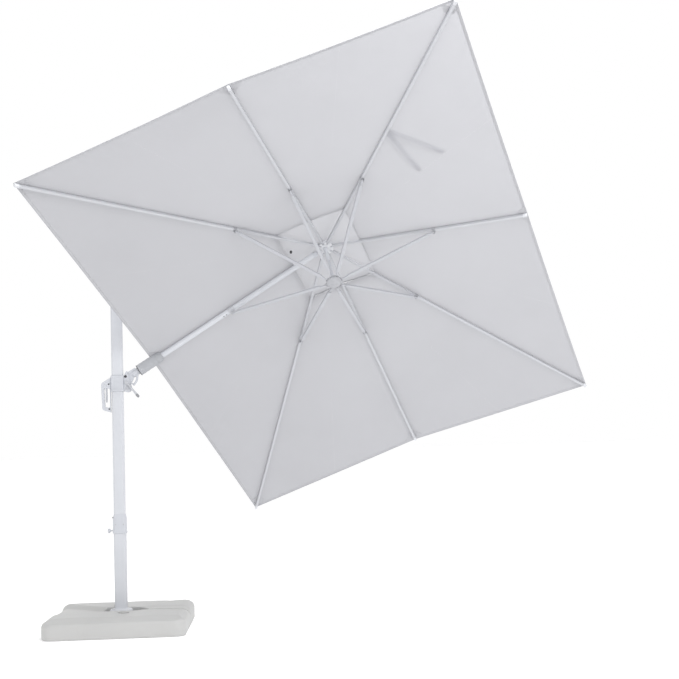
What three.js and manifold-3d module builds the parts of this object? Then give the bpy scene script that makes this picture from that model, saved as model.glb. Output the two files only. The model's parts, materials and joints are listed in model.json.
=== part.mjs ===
// Cantilever parasol on a weighted base. Millimetres, +Z up, origin on the ground on the mast's axis.
// +X points from the mast towards the boom. The canopy is open, and tilted about the boom.
import * as THREE from 'three';
import { mergeVertices } from 'three/addons/utils/BufferGeometryUtils.js';
import Module from 'manifold-3d';

const wasm = await Module();
wasm.setup();

// ---------------------------------------------------------------- driving dimensions
const GAP = 0.3; // air between touching pieces

const BASE = { side: 930, height: 132, shoulder: 88, bevel: 58, corner: 70, seam: 4 };
const WELL = { halfLength: 180, halfWidth: 96 };
const CAP = { x: 37, y: 183, radius: 33, rise: 7, depth: 16 };
const CROSS = { length: 860, width: 70, height: 30, plate: 230, plateThickness: 9 };
const TURN = { radius: 84, discRadius: 72, discTop: 132, discThickness: 10 };
const PEDAL = { z: 74, width: 46, length: 62 };

const MAST = { long: 84, short: 50, wall: 2.5, corner: 8, top: 2450, joint: 700 };
const SLEEVE = { bottom: 640, top: 770, wall: 6 };
const KNOB = { z: 664, radius: 16, length: 24 };

const CARRIAGE = { bottom: 1602, top: 1712, wall: 6 };
const BUSH = { height: 22, inset: 5, wall: 2 };
const HANDLE = { depth: 66, bottom: 1460, top: 1700, thickness: 30, bar: 20, inner: 5 };
const TRIGGER = { inset: 31, drop: 84, length: 94, thickness: 16 };
const PIVOT = { x: 57, z: 1704, radius: 4.5, back: 11 }; // elevation hinge, axis along Y
const CHEEK = { gap: 15, thickness: 6, radius: 28, drop: 80 };
const QUADRANT = { radius: 85, thickness: 28 };
const LEVER = { x: 66, z: 1660, length: 122, angle: 51, radius: 6 };

const BOOM = { x: 96, z: 1711, elevation: 32.2, length: 1553, radius: 19, wall: 2 };
const TILT = -41.6; // turn of the boom, with the canopy, about the boom's own axis
const GRIP = { start: 60, end: 250, radius: 40 };

const CANOPY = { halfShort: 1370, halfLong: 1830, cornerDrop: 528, shortDrop: 438, longDrop: 444 };
const CANOPY_TO_BOOM = 17.55; // degrees from the canopy's level plane to the boom
const HUB = { hinge: 48, core: 38, cheek: 56, flange: 60, top: 18, bottom: -8, slot: 12 };
const BOOM_HINGE_DROP = 9;
const RIB = { width: 18, height: 20, wall: 1.2, tongue: 9, root: 6 };
const STRUT = { width: 22, height: 14, wall: 2, tongue: 10, pivotDrop: 19, boomPivotDrop: 40, along: 724 };
const RUNNER = { depth: 350, endRadius: 58, radius: 52, height: 34 };
const FOLD = 64; // degrees that the crown turns on the boom to close the canopy
const CLOSED_RIB = 90 - CANOPY_TO_BOOM - FOLD; // a closed rib's angle to the crown's axis
const FABRIC = { thickness: 1.2, rise: 15.5, opening: 0.18, seam: 1.2 };
const VENT = { reach: 0.235, rise: 46, centreRise: 16, hole: 11, thickness: 1.2 };

const RAD = Math.PI / 180;

// ---------------------------------------------------------------- materials
function material(hex, roughness, metalness = 0) {
  return new THREE.MeshStandardMaterial({ color: hex, roughness, metalness });
}

const paint = () => material(0xe9eaee, 0.4, 0.1);
const tankPlastic = () => material(0xeceae6, 0.55);
const whitePlastic = () => material(0xf1f1f1, 0.45);
const greyPlastic = () => material(0xc9cbd0, 0.6);
const darkPlastic = () => material(0x26272a, 0.6);
const steel = () => material(0xa9abae, 0.35, 0.9);
const fabric = () => material(0xdfe1e6, 0.9);

// ---------------------------------------------------------------- solids
function toSolid(geometry) {
  const plain = geometry.clone();
  for (const name of Object.keys(plain.attributes)) {
    if (name !== 'position') plain.deleteAttribute(name);
  }
  const merged = mergeVertices(plain, 1e-4);
  return new wasm.Manifold(new wasm.Mesh({
    numProp: 3,
    vertProperties: new Float32Array(merged.attributes.position.array),
    triVerts: new Uint32Array(merged.index.array),
  }));
}

function toGeometry(solid) {
  const mesh = solid.getMesh();
  const geometry = new THREE.BufferGeometry();
  geometry.setAttribute('position', new THREE.BufferAttribute(new Float32Array(mesh.vertProperties), 3));
  geometry.setIndex(new THREE.BufferAttribute(new Uint32Array(mesh.triVerts), 1));
  geometry.computeVertexNormals();
  return geometry;
}

function join(...geometries) {
  return toGeometry(geometries.map(toSolid).reduce((whole, next) => whole.add(next)));
}

function cut(geometry, ...tools) {
  return toGeometry(tools.map(toSolid).reduce((whole, next) => whole.subtract(next), toSolid(geometry)));
}

function keep(geometry, region) {
  return toGeometry(toSolid(geometry).intersect(toSolid(region)));
}

// A box given by its lowest and highest corners.
function block(low, high) {
  const size = high.map((value, i) => value - low[i]);
  const centre = high.map((value, i) => (value + low[i]) / 2);
  return new THREE.BoxGeometry(...size).translate(...centre);
}

// A cylinder between two heights along X, Y or Z.
function rod(radius, from, to, axis, across = [0, 0], sides = 24) {
  const geometry = new THREE.CylinderGeometry(radius, radius, to - from, sides);
  const middle = (from + to) / 2;
  if (axis === 'x') return geometry.rotateZ(-Math.PI / 2).translate(middle, across[0], across[1]);
  if (axis === 'y') return geometry.translate(across[0], middle, across[1]);
  return geometry.rotateX(Math.PI / 2).translate(across[0], across[1], middle);
}

function roundedRectangle(halfX, halfY, radius, Outline = THREE.Shape) {
  const outline = new Outline();
  outline.absarc(halfX - radius, halfY - radius, radius, 0, Math.PI / 2);
  outline.absarc(-halfX + radius, halfY - radius, radius, Math.PI / 2, Math.PI);
  outline.absarc(-halfX + radius, -halfY + radius, radius, Math.PI, 1.5 * Math.PI);
  outline.absarc(halfX - radius, -halfY + radius, radius, 1.5 * Math.PI, 2 * Math.PI);
  return outline;
}

// Extrudes an outline drawn in X and Y upwards from one height to another.
function raise(outline, from, to, curveSegments = 4) {
  const options = { depth: to - from, bevelEnabled: false, curveSegments };
  return new THREE.ExtrudeGeometry(outline, options).translate(0, 0, from);
}

// Extrudes an outline drawn in X and Z, centred on y = 0.
function plate(outline, thickness, curveSegments = 8) {
  const options = { depth: thickness, bevelEnabled: false, curveSegments };
  return new THREE.ExtrudeGeometry(outline, options).rotateX(Math.PI / 2).translate(0, thickness / 2, 0);
}

// A rectangular tube along Z with rounded corners.
function boxTube(halfX, halfY, wall, corner, from, to) {
  const outline = roundedRectangle(halfX, halfY, corner);
  const inner = Math.max(corner - wall, 1);
  outline.holes.push(roundedRectangle(halfX - wall, halfY - wall, inner, THREE.Path));
  return raise(outline, from, to, 3);
}

// A solid of revolution about Z from radius and height pairs that start and end on the axis.
function turned(pairs, segments = 32) {
  const upward = pairs[0][1] < pairs.at(-1)[1] ? pairs : [...pairs].reverse();
  const points = upward.map(([radius, height]) => new THREE.Vector2(radius, height));
  return new THREE.LatheGeometry(points, segments).rotateX(Math.PI / 2);
}

function addPart(parent, name, geometry, finish) {
  const mesh = new THREE.Mesh(geometry, finish);
  mesh.name = name;
  parent.add(mesh);
}

// ---------------------------------------------------------------- weighted base
// Rings of a rounded square, joined into one closed body: straight sides, a round shoulder and a flat top.
function baseBlock() {
  const rings = [[6, 0], [0, 8], [0, BASE.shoulder], [10, 110], [28, 124], [BASE.bevel, BASE.height]];
  const slabs = rings.slice(1).map(([inset, height], i) => {
    const [belowInset, belowHeight] = rings[i];
    const half = BASE.side / 2;
    const lower = roundedRectangle(half - belowInset, half - belowInset, BASE.corner - belowInset * 0.5);
    const upper = roundedRectangle(half - inset, half - inset, BASE.corner - inset * 0.5);
    return loft(lower.getPoints(4), upper.getPoints(4), belowHeight, height);
  });
  return join(...slabs);
}

// A closed body between two outlines that have the same number of points.
function loft(lower, upper, from, to) {
  const count = lower.length - 1;
  const positions = [];
  const corner = (outline, i, z) => [outline[i % count].x, outline[i % count].y, z];
  for (let i = 0; i < count; i += 1) {
    const [a, b] = [corner(lower, i, from), corner(lower, i + 1, from)];
    const [c, d] = [corner(upper, i + 1, to), corner(upper, i, to)];
    positions.push(...a, ...b, ...c, ...a, ...c, ...d);
    positions.push(0, 0, from, ...b, ...a);
    positions.push(0, 0, to, ...d, ...c);
  }
  const geometry = new THREE.BufferGeometry();
  geometry.setAttribute('position', new THREE.Float32BufferAttribute(positions, 3));
  return geometry;
}

function wellOutline() {
  const { halfLength, halfWidth } = WELL;
  const outline = new THREE.Shape();
  outline.moveTo(halfLength, -30);
  outline.lineTo(halfLength, 30);
  outline.lineTo(halfLength - 70, halfWidth);
  outline.lineTo(-halfLength + 70, halfWidth);
  outline.lineTo(-halfLength, 30);
  outline.lineTo(-halfLength, -30);
  outline.lineTo(-halfLength + 70, -halfWidth);
  outline.lineTo(halfLength - 70, -halfWidth);
  outline.closePath();
  return outline;
}

// The channels under the tanks that the steel cross lies in.
function crossChannels() {
  const reach = CROSS.length / 2 + 4;
  const half = CROSS.width / 2 + 4;
  const side = CROSS.plate / 2 + 4;
  const top = CROSS.height + 3;
  return [
    block([-reach, -half, -1], [reach, half, top]),
    block([-half, -reach, -1], [half, reach, top]),
    block([-side, -side, -1], [side, side, top + CROSS.plateThickness]),
  ];
}

// side is -1 for the front tank and 1 for the rear one, which is the same moulding turned half round.
function tank(side) {
  const half = BASE.side / 2 + 1;
  const region = side < 0
    ? block([-half, -half, -1], [half, -BASE.seam / 2, BASE.height + 1])
    : block([-half, BASE.seam / 2, -1], [half, half, BASE.height + 1]);
  const seat = [-side * CAP.x, side * CAP.y];
  const socket = rod(CAP.radius + 1, BASE.height - CAP.depth - 1, BASE.height + 1, 'z', seat);
  const well = raise(wellOutline(), -1, BASE.height + 1);
  return cut(keep(baseBlock(), region), well, socket, ...crossChannels());
}

function fillerCap() {
  const { radius, rise, depth } = CAP;
  const body = rod(radius - 2, -depth + GAP, 1, 'z', [0, 0], 28);
  const flange = rod(radius, -2, 2, 'z', [0, 0], 28);
  const bar = block([-radius + 5, -5, 1], [radius - 5, 5, rise]);
  return join(body, flange, bar);
}

function crossFrame() {
  const { length, width, height, plate: side, plateThickness } = CROSS;
  return join(
    block([-length / 2, -width / 2, 0], [length / 2, width / 2, height]),
    block([-width / 2, -length / 2, 0], [width / 2, length / 2, height]),
    block([-side / 2, -side / 2, height - 1], [side / 2, side / 2, height + plateThickness]),
  );
}

function turntableHousing() {
  const floor = CROSS.height + CROSS.plateThickness + GAP;
  const top = TURN.discTop - TURN.discThickness - GAP;
  const body = turned([[0, floor], [TURN.radius + 8, floor], [TURN.radius + 8, floor + 9],
    [TURN.radius, floor + 14], [TURN.radius - 6, top], [0, top]]);
  const side = PEDAL.width / 2 + 3;
  const slot = block([TURN.radius - 34, -side, PEDAL.z - 14], [TURN.radius + 20, side, top + 1]);
  return cut(body, slot);
}

function footPedal() {
  const { length, width } = PEDAL;
  const tread = block([-22, -width / 2, -5], [length, width / 2, 5]);
  const pad = block([length - 34, -width / 2 - 8, 4], [length + 4, width / 2 + 8, 12]);
  return join(tread, pad);
}

function buildBase(root) {
  addPart(root, 'tank_front', tank(-1), tankPlastic());
  addPart(root, 'tank_rear', tank(1), tankPlastic());
  [['filler_cap_front', -1], ['filler_cap_rear', 1]].forEach(([name, side]) => {
    const seat = new THREE.Group();
    seat.position.set(-side * CAP.x, side * CAP.y, BASE.height);
    root.add(seat);
    addPart(seat, name, fillerCap(), tankPlastic());
  });
  addPart(root, 'cross_frame', crossFrame(), paint());
  addPart(root, 'turntable_housing', turntableHousing(), whitePlastic());
  const hinge = new THREE.Group();
  hinge.position.set(TURN.radius - 6, 0, PEDAL.z + 14);
  root.add(hinge);
  addPart(hinge, 'foot_pedal', footPedal(), darkPlastic());
}

// ---------------------------------------------------------------- mast
function turntableDisc() {
  const low = TURN.discTop - TURN.discThickness;
  const disc = turned([[0, low], [TURN.discRadius + 4, low], [TURN.discRadius + 4, low + 4],
    [TURN.discRadius, low + 5], [TURN.discRadius - 3, TURN.discTop], [0, TURN.discTop]]);
  return disc;
}

function mastSleeve() {
  const { bottom, top, wall } = SLEEVE;
  const halfX = MAST.long / 2 + GAP;
  const halfY = MAST.short / 2 + GAP;
  const outline = roundedRectangle(halfX + wall, halfY + wall, MAST.corner + wall);
  const body = raise(outline, bottom, top, 3);
  const bore = raise(roundedRectangle(halfX, halfY, MAST.corner), bottom - 1, top + 1, 3);
  return cut(body, bore);
}

function sleeveKnob() {
  const { radius, length } = KNOB;
  const shaft = rod(5, 0, 14, 'x');
  const head = rod(radius, -length + 6, 1, 'x', [0, 0], 20);
  return join(shaft, head);
}

function topCap() {
  const halfX = MAST.long / 2 - 3;
  const halfY = MAST.short / 2 - 3;
  const lid = raise(roundedRectangle(halfX + 4, halfY + 4, MAST.corner), MAST.top + GAP, MAST.top + 12, 3);
  const plug = raise(roundedRectangle(halfX - 3, halfY - 3, 4), MAST.top - 30, MAST.top + 1, 3);
  return join(lid, plug);
}

function buildMast(root) {
  const { long, short, wall, corner, joint, top } = MAST;
  const slim = wall + 0.5;
  addPart(root, 'turntable_disc', turntableDisc(), whitePlastic());
  const lower = boxTube(long / 2, short / 2, wall, corner, TURN.discTop + GAP, joint);
  addPart(root, 'mast_lower', lower, paint());
  const upper = boxTube(long / 2 - slim, short / 2 - slim, wall, corner - slim, joint - 130, top);
  addPart(root, 'mast_upper', upper, paint());
  addPart(root, 'mast_sleeve', mastSleeve(), paint());
  const seat = new THREE.Group();
  seat.position.set(-long / 2 - SLEEVE.wall - 16, 0, KNOB.z - 6);
  root.add(seat);
  addPart(seat, 'sleeve_knob', sleeveKnob(), paint());
  addPart(root, 'mast_top_cap', topCap(), whitePlastic());
}

// ---------------------------------------------------------------- carriage on the mast
const RUN = { x: MAST.long / 2 - 3 + 0.6, y: MAST.short / 2 - 3 + 0.6 }; // half sizes of the sliding bore

function carriageBody() {
  const { bottom, top, wall } = CARRIAGE;
  const outer = roundedRectangle(RUN.x + wall, RUN.y + wall, MAST.corner + 3);
  const bore = raise(roundedRectangle(RUN.x + 0.6, RUN.y + 0.6, MAST.corner - 2), bottom - 1, top + 1, 3);
  const recesses = bushHeights().map((z) => raise(
    roundedRectangle(RUN.x + BUSH.wall + GAP, RUN.y + BUSH.wall + GAP, MAST.corner - 1),
    z - GAP, z + BUSH.height + GAP, 3,
  ));
  return cut(raise(outer, bottom, top, 3), bore, ...recesses);
}

function bushHeights() {
  return [CARRIAGE.bottom + BUSH.inset, CARRIAGE.top - BUSH.inset - BUSH.height];
}

function slideBush(z) {
  const outline = roundedRectangle(RUN.x + BUSH.wall, RUN.y + BUSH.wall, MAST.corner - 1);
  outline.holes.push(roundedRectangle(RUN.x, RUN.y, MAST.corner - 3, THREE.Path));
  return raise(outline, z, z + BUSH.height, 3);
}

// A D-shaped loop beside the mast, drawn with x measured away from the carriage.
function gripHandle() {
  const { depth, bottom, top, thickness, bar, inner } = HANDLE;
  const outline = new THREE.Shape();
  outline.moveTo(0, top);
  outline.lineTo(0, bottom);
  outline.lineTo(depth - 18, bottom + 14);
  outline.quadraticCurveTo(depth - 8, bottom + 18, depth - 7, bottom + 30);
  outline.lineTo(depth, top - 52);
  outline.quadraticCurveTo(depth, top - 36, depth - 10, top - 32);
  outline.closePath();
  const opening = new THREE.Path();
  opening.moveTo(inner, top - 88);
  opening.lineTo(inner, bottom + 42);
  opening.quadraticCurveTo(18, bottom + 34, depth - bar - 8, bottom + 38);
  opening.lineTo(depth - bar, top - 82);
  opening.quadraticCurveTo(depth - bar - 10, top - 70, 18, top - 76);
  opening.closePath();
  outline.holes.push(opening);
  return plate(outline, thickness, 5).scale(-1, 1, 1);
}

// scale() by a negative number turns the faces inside out, so each triangle is turned back.
function faceOut(geometry) {
  const plain = geometry.index ? geometry.toNonIndexed() : geometry;
  const { array } = plain.attributes.position;
  for (let i = 0; i < array.length; i += 9) {
    for (let k = 0; k < 3; k += 1) {
      const held = array[i + 3 + k];
      array[i + 3 + k] = array[i + 6 + k];
      array[i + 6 + k] = held;
    }
  }
  return plain;
}

// The squeeze lever hangs from its hinge inside the loop; the hinge is the group's origin.
function releaseTrigger() {
  const { length, thickness } = TRIGGER;
  const outline = new THREE.Shape();
  outline.moveTo(-4, 2);
  outline.lineTo(4, 2);
  outline.quadraticCurveTo(9, -length / 2, 4, -length + 6);
  outline.quadraticCurveTo(1, -length, -3, -length + 4);
  outline.quadraticCurveTo(-5, -length / 2, -4, 2);
  return plate(outline, thickness, 5);
}

function cheek(side) {
  const { radius, thickness, drop, gap } = CHEEK;
  const outline = new THREE.Shape();
  const left = RUN.x + CARRIAGE.wall + GAP;
  outline.moveTo(left, CARRIAGE.top - 2);
  outline.lineTo(left, CARRIAGE.bottom + 2);
  outline.lineTo(PIVOT.x + 4, PIVOT.z - drop - radius);
  outline.absarc(PIVOT.x + 12, PIVOT.z - drop, radius, -Math.PI / 2, 0.6);
  outline.absarc(PIVOT.x, PIVOT.z, 20, 0.3, Math.PI / 2);
  outline.closePath();
  const bore = rod(PIVOT.radius + GAP, -50, 50, 'y', [PIVOT.x, PIVOT.z]);
  const body = plate(outline, thickness, 6).translate(0, side * (gap + thickness / 2), 0);
  return cut(body, bore);
}

function pivotPin() {
  const reach = CHEEK.gap + CHEEK.thickness;
  const shaft = rod(PIVOT.radius, -reach - 2, reach + 2, 'y');
  const head = rod(9, -reach - 5, -reach - GAP, 'y');
  const nut = rod(8, reach + GAP, reach + 7, 'y', [0, 0], 6);
  return join(shaft, head, nut);
}

function lockLever() {
  const { length, radius } = LEVER;
  const boss = rod(12, 0, 12, 'y');
  const shaft = new THREE.CylinderGeometry(radius, radius + 2.5, length - 8, 16);
  shaft.rotateZ(Math.PI / 2).translate(length / 2, 2, 0);
  const tip = new THREE.SphereGeometry(radius + 4, 14, 8).translate(length - 2, 1, 0);
  return join(boss, shaft, tip);
}

function buildCarriage(root) {
  addPart(root, 'carriage', carriageBody(), paint());
  const [low, high] = bushHeights();
  addPart(root, 'slide_bush_lower', slideBush(low), darkPlastic());
  addPart(root, 'slide_bush_upper', slideBush(high), darkPlastic());
  const side = new THREE.Group();
  side.position.set(-RUN.x - CARRIAGE.wall - GAP, 0, 0);
  root.add(side);
  addPart(side, 'grip_handle', faceOut(gripHandle()), paint());
  const trigger = new THREE.Group();
  trigger.position.set(-TRIGGER.inset, 0, HANDLE.top - TRIGGER.drop);
  side.add(trigger);
  addPart(trigger, 'release_trigger', releaseTrigger(), greyPlastic());
  addPart(root, 'cheek_near', cheek(-1), paint());
  addPart(root, 'cheek_far', cheek(1), paint());
  const hinge = new THREE.Group();
  hinge.position.set(PIVOT.x, 0, PIVOT.z);
  root.add(hinge);
  addPart(hinge, 'pivot_pin', pivotPin(), steel());
  const lever = new THREE.Group();
  lever.position.set(LEVER.x, -CHEEK.gap - CHEEK.thickness - 12 - GAP, LEVER.z);
  lever.rotation.y = LEVER.angle * RAD;
  root.add(lever);
  addPart(lever, 'lock_lever', lockLever(), darkPlastic());
}

// ---------------------------------------------------------------- boom
// In the boom's own frame x runs along the boom, from a point near the hinge.
function boomKnuckle() {
  const { radius, thickness } = QUADRANT;
  const sector = new THREE.Shape();
  sector.absarc(0, 0, radius, -50 * RAD, 52 * RAD);
  sector.absarc(0, 0, PIVOT.back, 110 * RAD, 240 * RAD);
  sector.closePath();
  const plateBody = plate(sector, thickness, 10);
  const bore = rod(PIVOT.radius + GAP, -40, 40, 'y');
  const elevation = new THREE.Matrix4().makeRotationY(-BOOM.elevation * RAD);
  const toBoom = new THREE.Matrix4().makeTranslation(BOOM.x - PIVOT.x, 0, BOOM.z - PIVOT.z);
  toBoom.multiply(elevation);
  const socket = rod(24, 12, GRIP.start - GAP, 'x').applyMatrix4(toBoom);
  const spigot = rod(BOOM.radius - BOOM.wall - 0.5, 20, 170, 'x').applyMatrix4(toBoom);
  return cut(join(plateBody, socket, spigot), bore);
}

function boomTube() {
  const outline = new THREE.Shape().absarc(0, 0, BOOM.radius, 0, 2 * Math.PI);
  outline.holes.push(new THREE.Path().absarc(0, 0, BOOM.radius - BOOM.wall, 0, 2 * Math.PI));
  const tube = raise(outline, GRIP.start + 2, BOOM.length - 46, 12);
  return tube.rotateY(Math.PI / 2);
}

function tiltGrip() {
  const { start, end, radius } = GRIP;
  const body = turned([[0, start], [radius - 4, start], [radius, start + 5], [radius, end - 40],
    [radius - 8, end - 6], [radius - 11, end], [0, end]], 28).rotateY(Math.PI / 2);
  return cut(body, rod(BOOM.radius + GAP, start - 1, end + 1, 'x', [0, 0], 28));
}

// Two upright plates between two distances from y = 0, one on each side, with their spans in X and Z.
function twoEars(inner, outer, [x0, x1], [z0, z1]) {
  return [block([x0, inner, z0], [x1, outer, z1]), block([x0, -outer, z0], [x1, -inner, z1])];
}

// A clamp round the boom with two ears that carry the boom's strut.
function strutBracket(along) {
  const { boomPivotDrop, tongue } = STRUT;
  const ring = rod(BOOM.radius + 2.6, along - 24, along + 24, 'x', [0, 0], 28);
  const bottom = -boomPivotDrop - 8;
  const ears = twoEars(tongue / 2 + 1, tongue / 2 + 5, [along - 12, along + 12], [bottom, -BOOM.radius - 1]);
  const bore = rod(BOOM.radius + GAP, along - 30, along + 30, 'x', [0, 0], 28);
  return cut(join(ring, ...ears), bore);
}

// A plug in the boom's end that narrows to the tongue on the crown's hinge.
function boomEndFork() {
  const end = BOOM.length;
  const plug = rod(BOOM.radius - BOOM.wall - GAP, end - 90, end - 44, 'x');
  const shoulder = rod(BOOM.radius, end - 45.5, end - 27, 'x');
  const tongue = block([end - 30, -5, -9], [end, 5, 9]);
  const eye = rod(9, -5, 5, 'y', [end, 0]);
  return join(plug, shoulder, tongue, eye);
}

// ---------------------------------------------------------------- canopy frame
// In the canopy's frame x points away from the mast and z along the crown's axis.
const RIBS = [
  { name: 'outer', x: 1, y: 0 },
  { name: 'outer_right', x: 1, y: 1 },
  { name: 'right', x: 0, y: 1 },
  { name: 'inner_right', x: -1, y: 1 },
  { name: 'boom', x: -1, y: 0 },
  { name: 'inner_left', x: -1, y: -1 },
  { name: 'left', x: 0, y: -1 },
  { name: 'outer_left', x: 1, y: -1 },
].map(describeRib);

function describeRib(rib) {
  const x = rib.x * CANOPY.halfShort;
  const y = rib.y * CANOPY.halfLong;
  const reach = Math.hypot(x, y) - HUB.hinge;
  let drop = CANOPY.cornerDrop;
  if (rib.y === 0) drop = CANOPY.shortDrop;
  if (rib.x === 0) drop = CANOPY.longDrop;
  const length = Math.hypot(reach, drop);
  const described = { ...rib, azimuth: Math.atan2(y, x), angle: Math.atan2(drop, reach), length };
  if (rib.name === 'boom') described.angle = CANOPY_TO_BOOM * RAD;
  return described;
}

// The runner's depth once the canopy is closed, from where a strut pivots along its rib.
function closedDepth(rib, along) {
  const pivotDrop = rib.name === 'boom' ? STRUT.boomPivotDrop : STRUT.pivotDrop;
  const hingeDrop = rib.name === 'boom' ? BOOM_HINGE_DROP : 0;
  const open = strutPivot(rib.angle, along, pivotDrop, hingeDrop);
  const length = Math.hypot(open.radius - RUNNER.endRadius, RUNNER.depth - open.depth);
  const closed = strutPivot((90 - CLOSED_RIB) * RAD, along, pivotDrop, hingeDrop);
  return closed.depth + Math.sqrt(length ** 2 - (closed.radius - RUNNER.endRadius) ** 2);
}

function strutPivot(angle, along, pivotDrop, hingeDrop) {
  return {
    radius: HUB.hinge + along * Math.cos(angle) - pivotDrop * Math.sin(angle),
    depth: hingeDrop + along * Math.sin(angle) + pivotDrop * Math.cos(angle),
  };
}

// Every strut has to reach the same closed runner, so each pivot's place along its rib is solved for.
function pivotAlong(rib) {
  const corner = RIBS.find((other) => other.name === 'outer_right');
  const target = closedDepth(corner, STRUT.along);
  let [low, high] = [STRUT.along - 120, STRUT.along + 120];
  for (let i = 0; i < 40; i += 1) {
    const middle = (low + high) / 2;
    if (closedDepth(rib, middle) < target) low = middle;
    else high = middle;
  }
  return (low + high) / 2;
}

function rectangle(halfX, halfY) {
  const corners = [[-halfX, -halfY], [halfX, -halfY], [halfX, halfY], [-halfX, halfY]];
  return corners.map(([x, y]) => new THREE.Vector2(x, y));
}

// Turns a solid that was raised along Z so that it runs along X.
function layAlongX() {
  return new THREE.Matrix4().makeBasis(
    new THREE.Vector3(0, 1, 0), new THREE.Vector3(0, 0, 1), new THREE.Vector3(1, 0, 0),
  );
}

// Along a rib's own x axis, from its hinge: a tube with a solid root, a tongue and ears for the strut.
function ribBody(rib) {
  const { width, height, wall, tongue, root } = RIB;
  const length = rib.length - 6;
  const outline = new THREE.Shape(rectangle(width / 2, height / 2));
  outline.holes.push(new THREE.Path(rectangle(width / 2 - wall, height / 2 - wall)));
  const tube = raise(outline, 24, length).applyMatrix4(layAlongX());
  const plug = block([11, -width / 2, -height / 2], [25, width / 2, height / 2]);
  const flat = block([0, -tongue / 2, -root], [12, tongue / 2, root]);
  const eye = rod(root, -tongue / 2, tongue / 2, 'y', [0, 0], 16);
  const pivot = pivotAlong(rib);
  const earSpan = [pivot - 11, pivot + 11];
  const ears = twoEars(STRUT.tongue / 2 + 1, width / 2, earSpan, [-STRUT.pivotDrop - 7, -height / 2 + 0.5]);
  return join(tube, plug, flat, eye, ...ears);
}

// A channel along its own x axis, from its pivot on the rib to its end at the runner.
function strutBody(length) {
  const { width, height, wall, tongue } = STRUT;
  const [y, z] = [width / 2, height / 2];
  const right = [[y, z], [y, -z], [y - wall, -z], [y - wall, z - wall]];
  const left = [...right].reverse().map(([a, b]) => [-a, b]);
  const outline = new THREE.Shape([...right, ...left].map(([a, b]) => new THREE.Vector2(a, b)));
  const channel = raise(outline, 34, length - 44).applyMatrix4(layAlongX());
  const upper = block([0, -tongue / 2, -6], [40, tongue / 2, 6]);
  const lower = block([length - 50, -4, -6], [length - 2, 4, 6]);
  const eye = rod(6, -tongue / 2, tongue / 2, 'y', [0, 0], 16);
  return join(channel, upper, lower, eye);
}

function crownHub() {
  const { core, cheek: cheekRadius, flange, top, bottom, slot, hinge } = HUB;
  const lower = rod(cheekRadius, bottom, 15, 'z', [0, 0], 32);
  const [slotStart, slotEnd] = [[core, -slot / 2, bottom - 1], [cheekRadius + 2, slot / 2, 13.5]];
  const slots = RIBS.map((rib) => block(slotStart, slotEnd).rotateZ(rib.azimuth));
  const lid = turned([[0, 13], [flange, 13], [flange, 15], [flange - 14, top], [0, top]]);
  const ears = twoEars(6.5, 13, [-hinge - 12, -core + 6], [-BOOM_HINGE_DROP - 12, bottom + 2]);
  const room = block([-cheekRadius - 2, -6, -30], [-core + 2, 6, 4]);
  return cut(join(cut(lower, ...slots), lid, ...ears), room);
}

function crownPost() {
  return turned([[0, HUB.bottom - GAP], [12, HUB.bottom - GAP], [12, -128], [9, -134], [0, -134]], 20);
}

function finial() {
  const start = HUB.top + GAP;
  const profile = [[0, 0], [9, 0], [9, 26], [16, 32], [17, 40], [10, 47], [0, 48]];
  return turned(profile.map(([radius, height]) => [radius, start + height]), 20);
}

function runnerHub() {
  const { depth, radius, height } = RUNNER;
  const z = -depth;
  const bottom = z - height / 2;
  const top = z + height / 2;
  return turned([[0, bottom - 12], [12, bottom - 10], [radius - 14, bottom], [radius, z - 6],
    [radius, z + 8], [radius - 16, top], [0, top]]);
}

function runnerTube() {
  const bottom = -RUNNER.depth + RUNNER.height / 2 + GAP;
  return turned([[0, bottom], [10, bottom], [10, -142], [7, -136], [0, -136]], 20);
}

// ---------------------------------------------------------------- canopy fabric
// A point on the fabric above a rib, at a fraction of the rib's reach from the crown's axis.
function fabricPoint(rib, fraction) {
  const reach = Math.hypot(rib.x * CANOPY.halfShort, rib.y * CANOPY.halfLong);
  const radius = reach * fraction;
  const slope = Math.tan(rib.angle);
  const height = FABRIC.rise * Math.hypot(1, slope) - slope * (radius - HUB.hinge);
  return new THREE.Vector3(radius * Math.cos(rib.azimuth), radius * Math.sin(rib.azimuth), height);
}

// A closed sheet over triangles: the same points again, lower by the thickness, and a wall round the border.
function sheet(points, triangles, thickness) {
  const positions = [];
  const low = points.map((p) => new THREE.Vector3(p.x, p.y, p.z - thickness));
  const border = new Map();
  triangles.forEach(([a, b, c]) => {
    positions.push(...points[a], ...points[b], ...points[c], ...low[a], ...low[c], ...low[b]);
    [[a, b], [b, c], [c, a]].forEach(([from, to]) => {
      if (border.has(`${to},${from}`)) border.delete(`${to},${from}`);
      else border.set(`${from},${to}`, [from, to]);
    });
  });
  border.forEach(([from, to]) => {
    positions.push(...points[from], ...low[from], ...low[to], ...points[from], ...low[to], ...points[to]);
  });
  const geometry = new THREE.BufferGeometry();
  geometry.setAttribute('position', new THREE.Float32BufferAttribute(positions, 3));
  return geometry;
}

// The fabric that a rib carries: from the rib halfway to each neighbour.
function canopyPanel(index) {
  const rib = RIBS[index];
  const before = RIBS[(index + 7) % 8];
  const after = RIBS[(index + 1) % 8];
  const start = FABRIC.opening;
  const end = rib.name === 'boom' ? 0.9 : 1;
  const [inner, outer] = [fabricPoint(rib, start), fabricPoint(rib, end)];
  const half = (other, fraction) => {
    const [own, next] = [fabricPoint(rib, fraction), fabricPoint(other, fraction)];
    const middle = own.clone().add(next).multiplyScalar(0.5);
    return middle.add(own.clone().sub(next).setLength(FABRIC.seam));
  };
  const points = [inner, outer, half(after, end), half(after, start), half(before, start), half(before, end)];
  if (rib.name === 'boom') {
    points[2] = half(after, 1);
    points[5] = half(before, 1);
  }
  return sheet(points, [[0, 1, 2], [0, 2, 3], [0, 4, 5], [0, 5, 1]], FABRIC.thickness);
}

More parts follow.
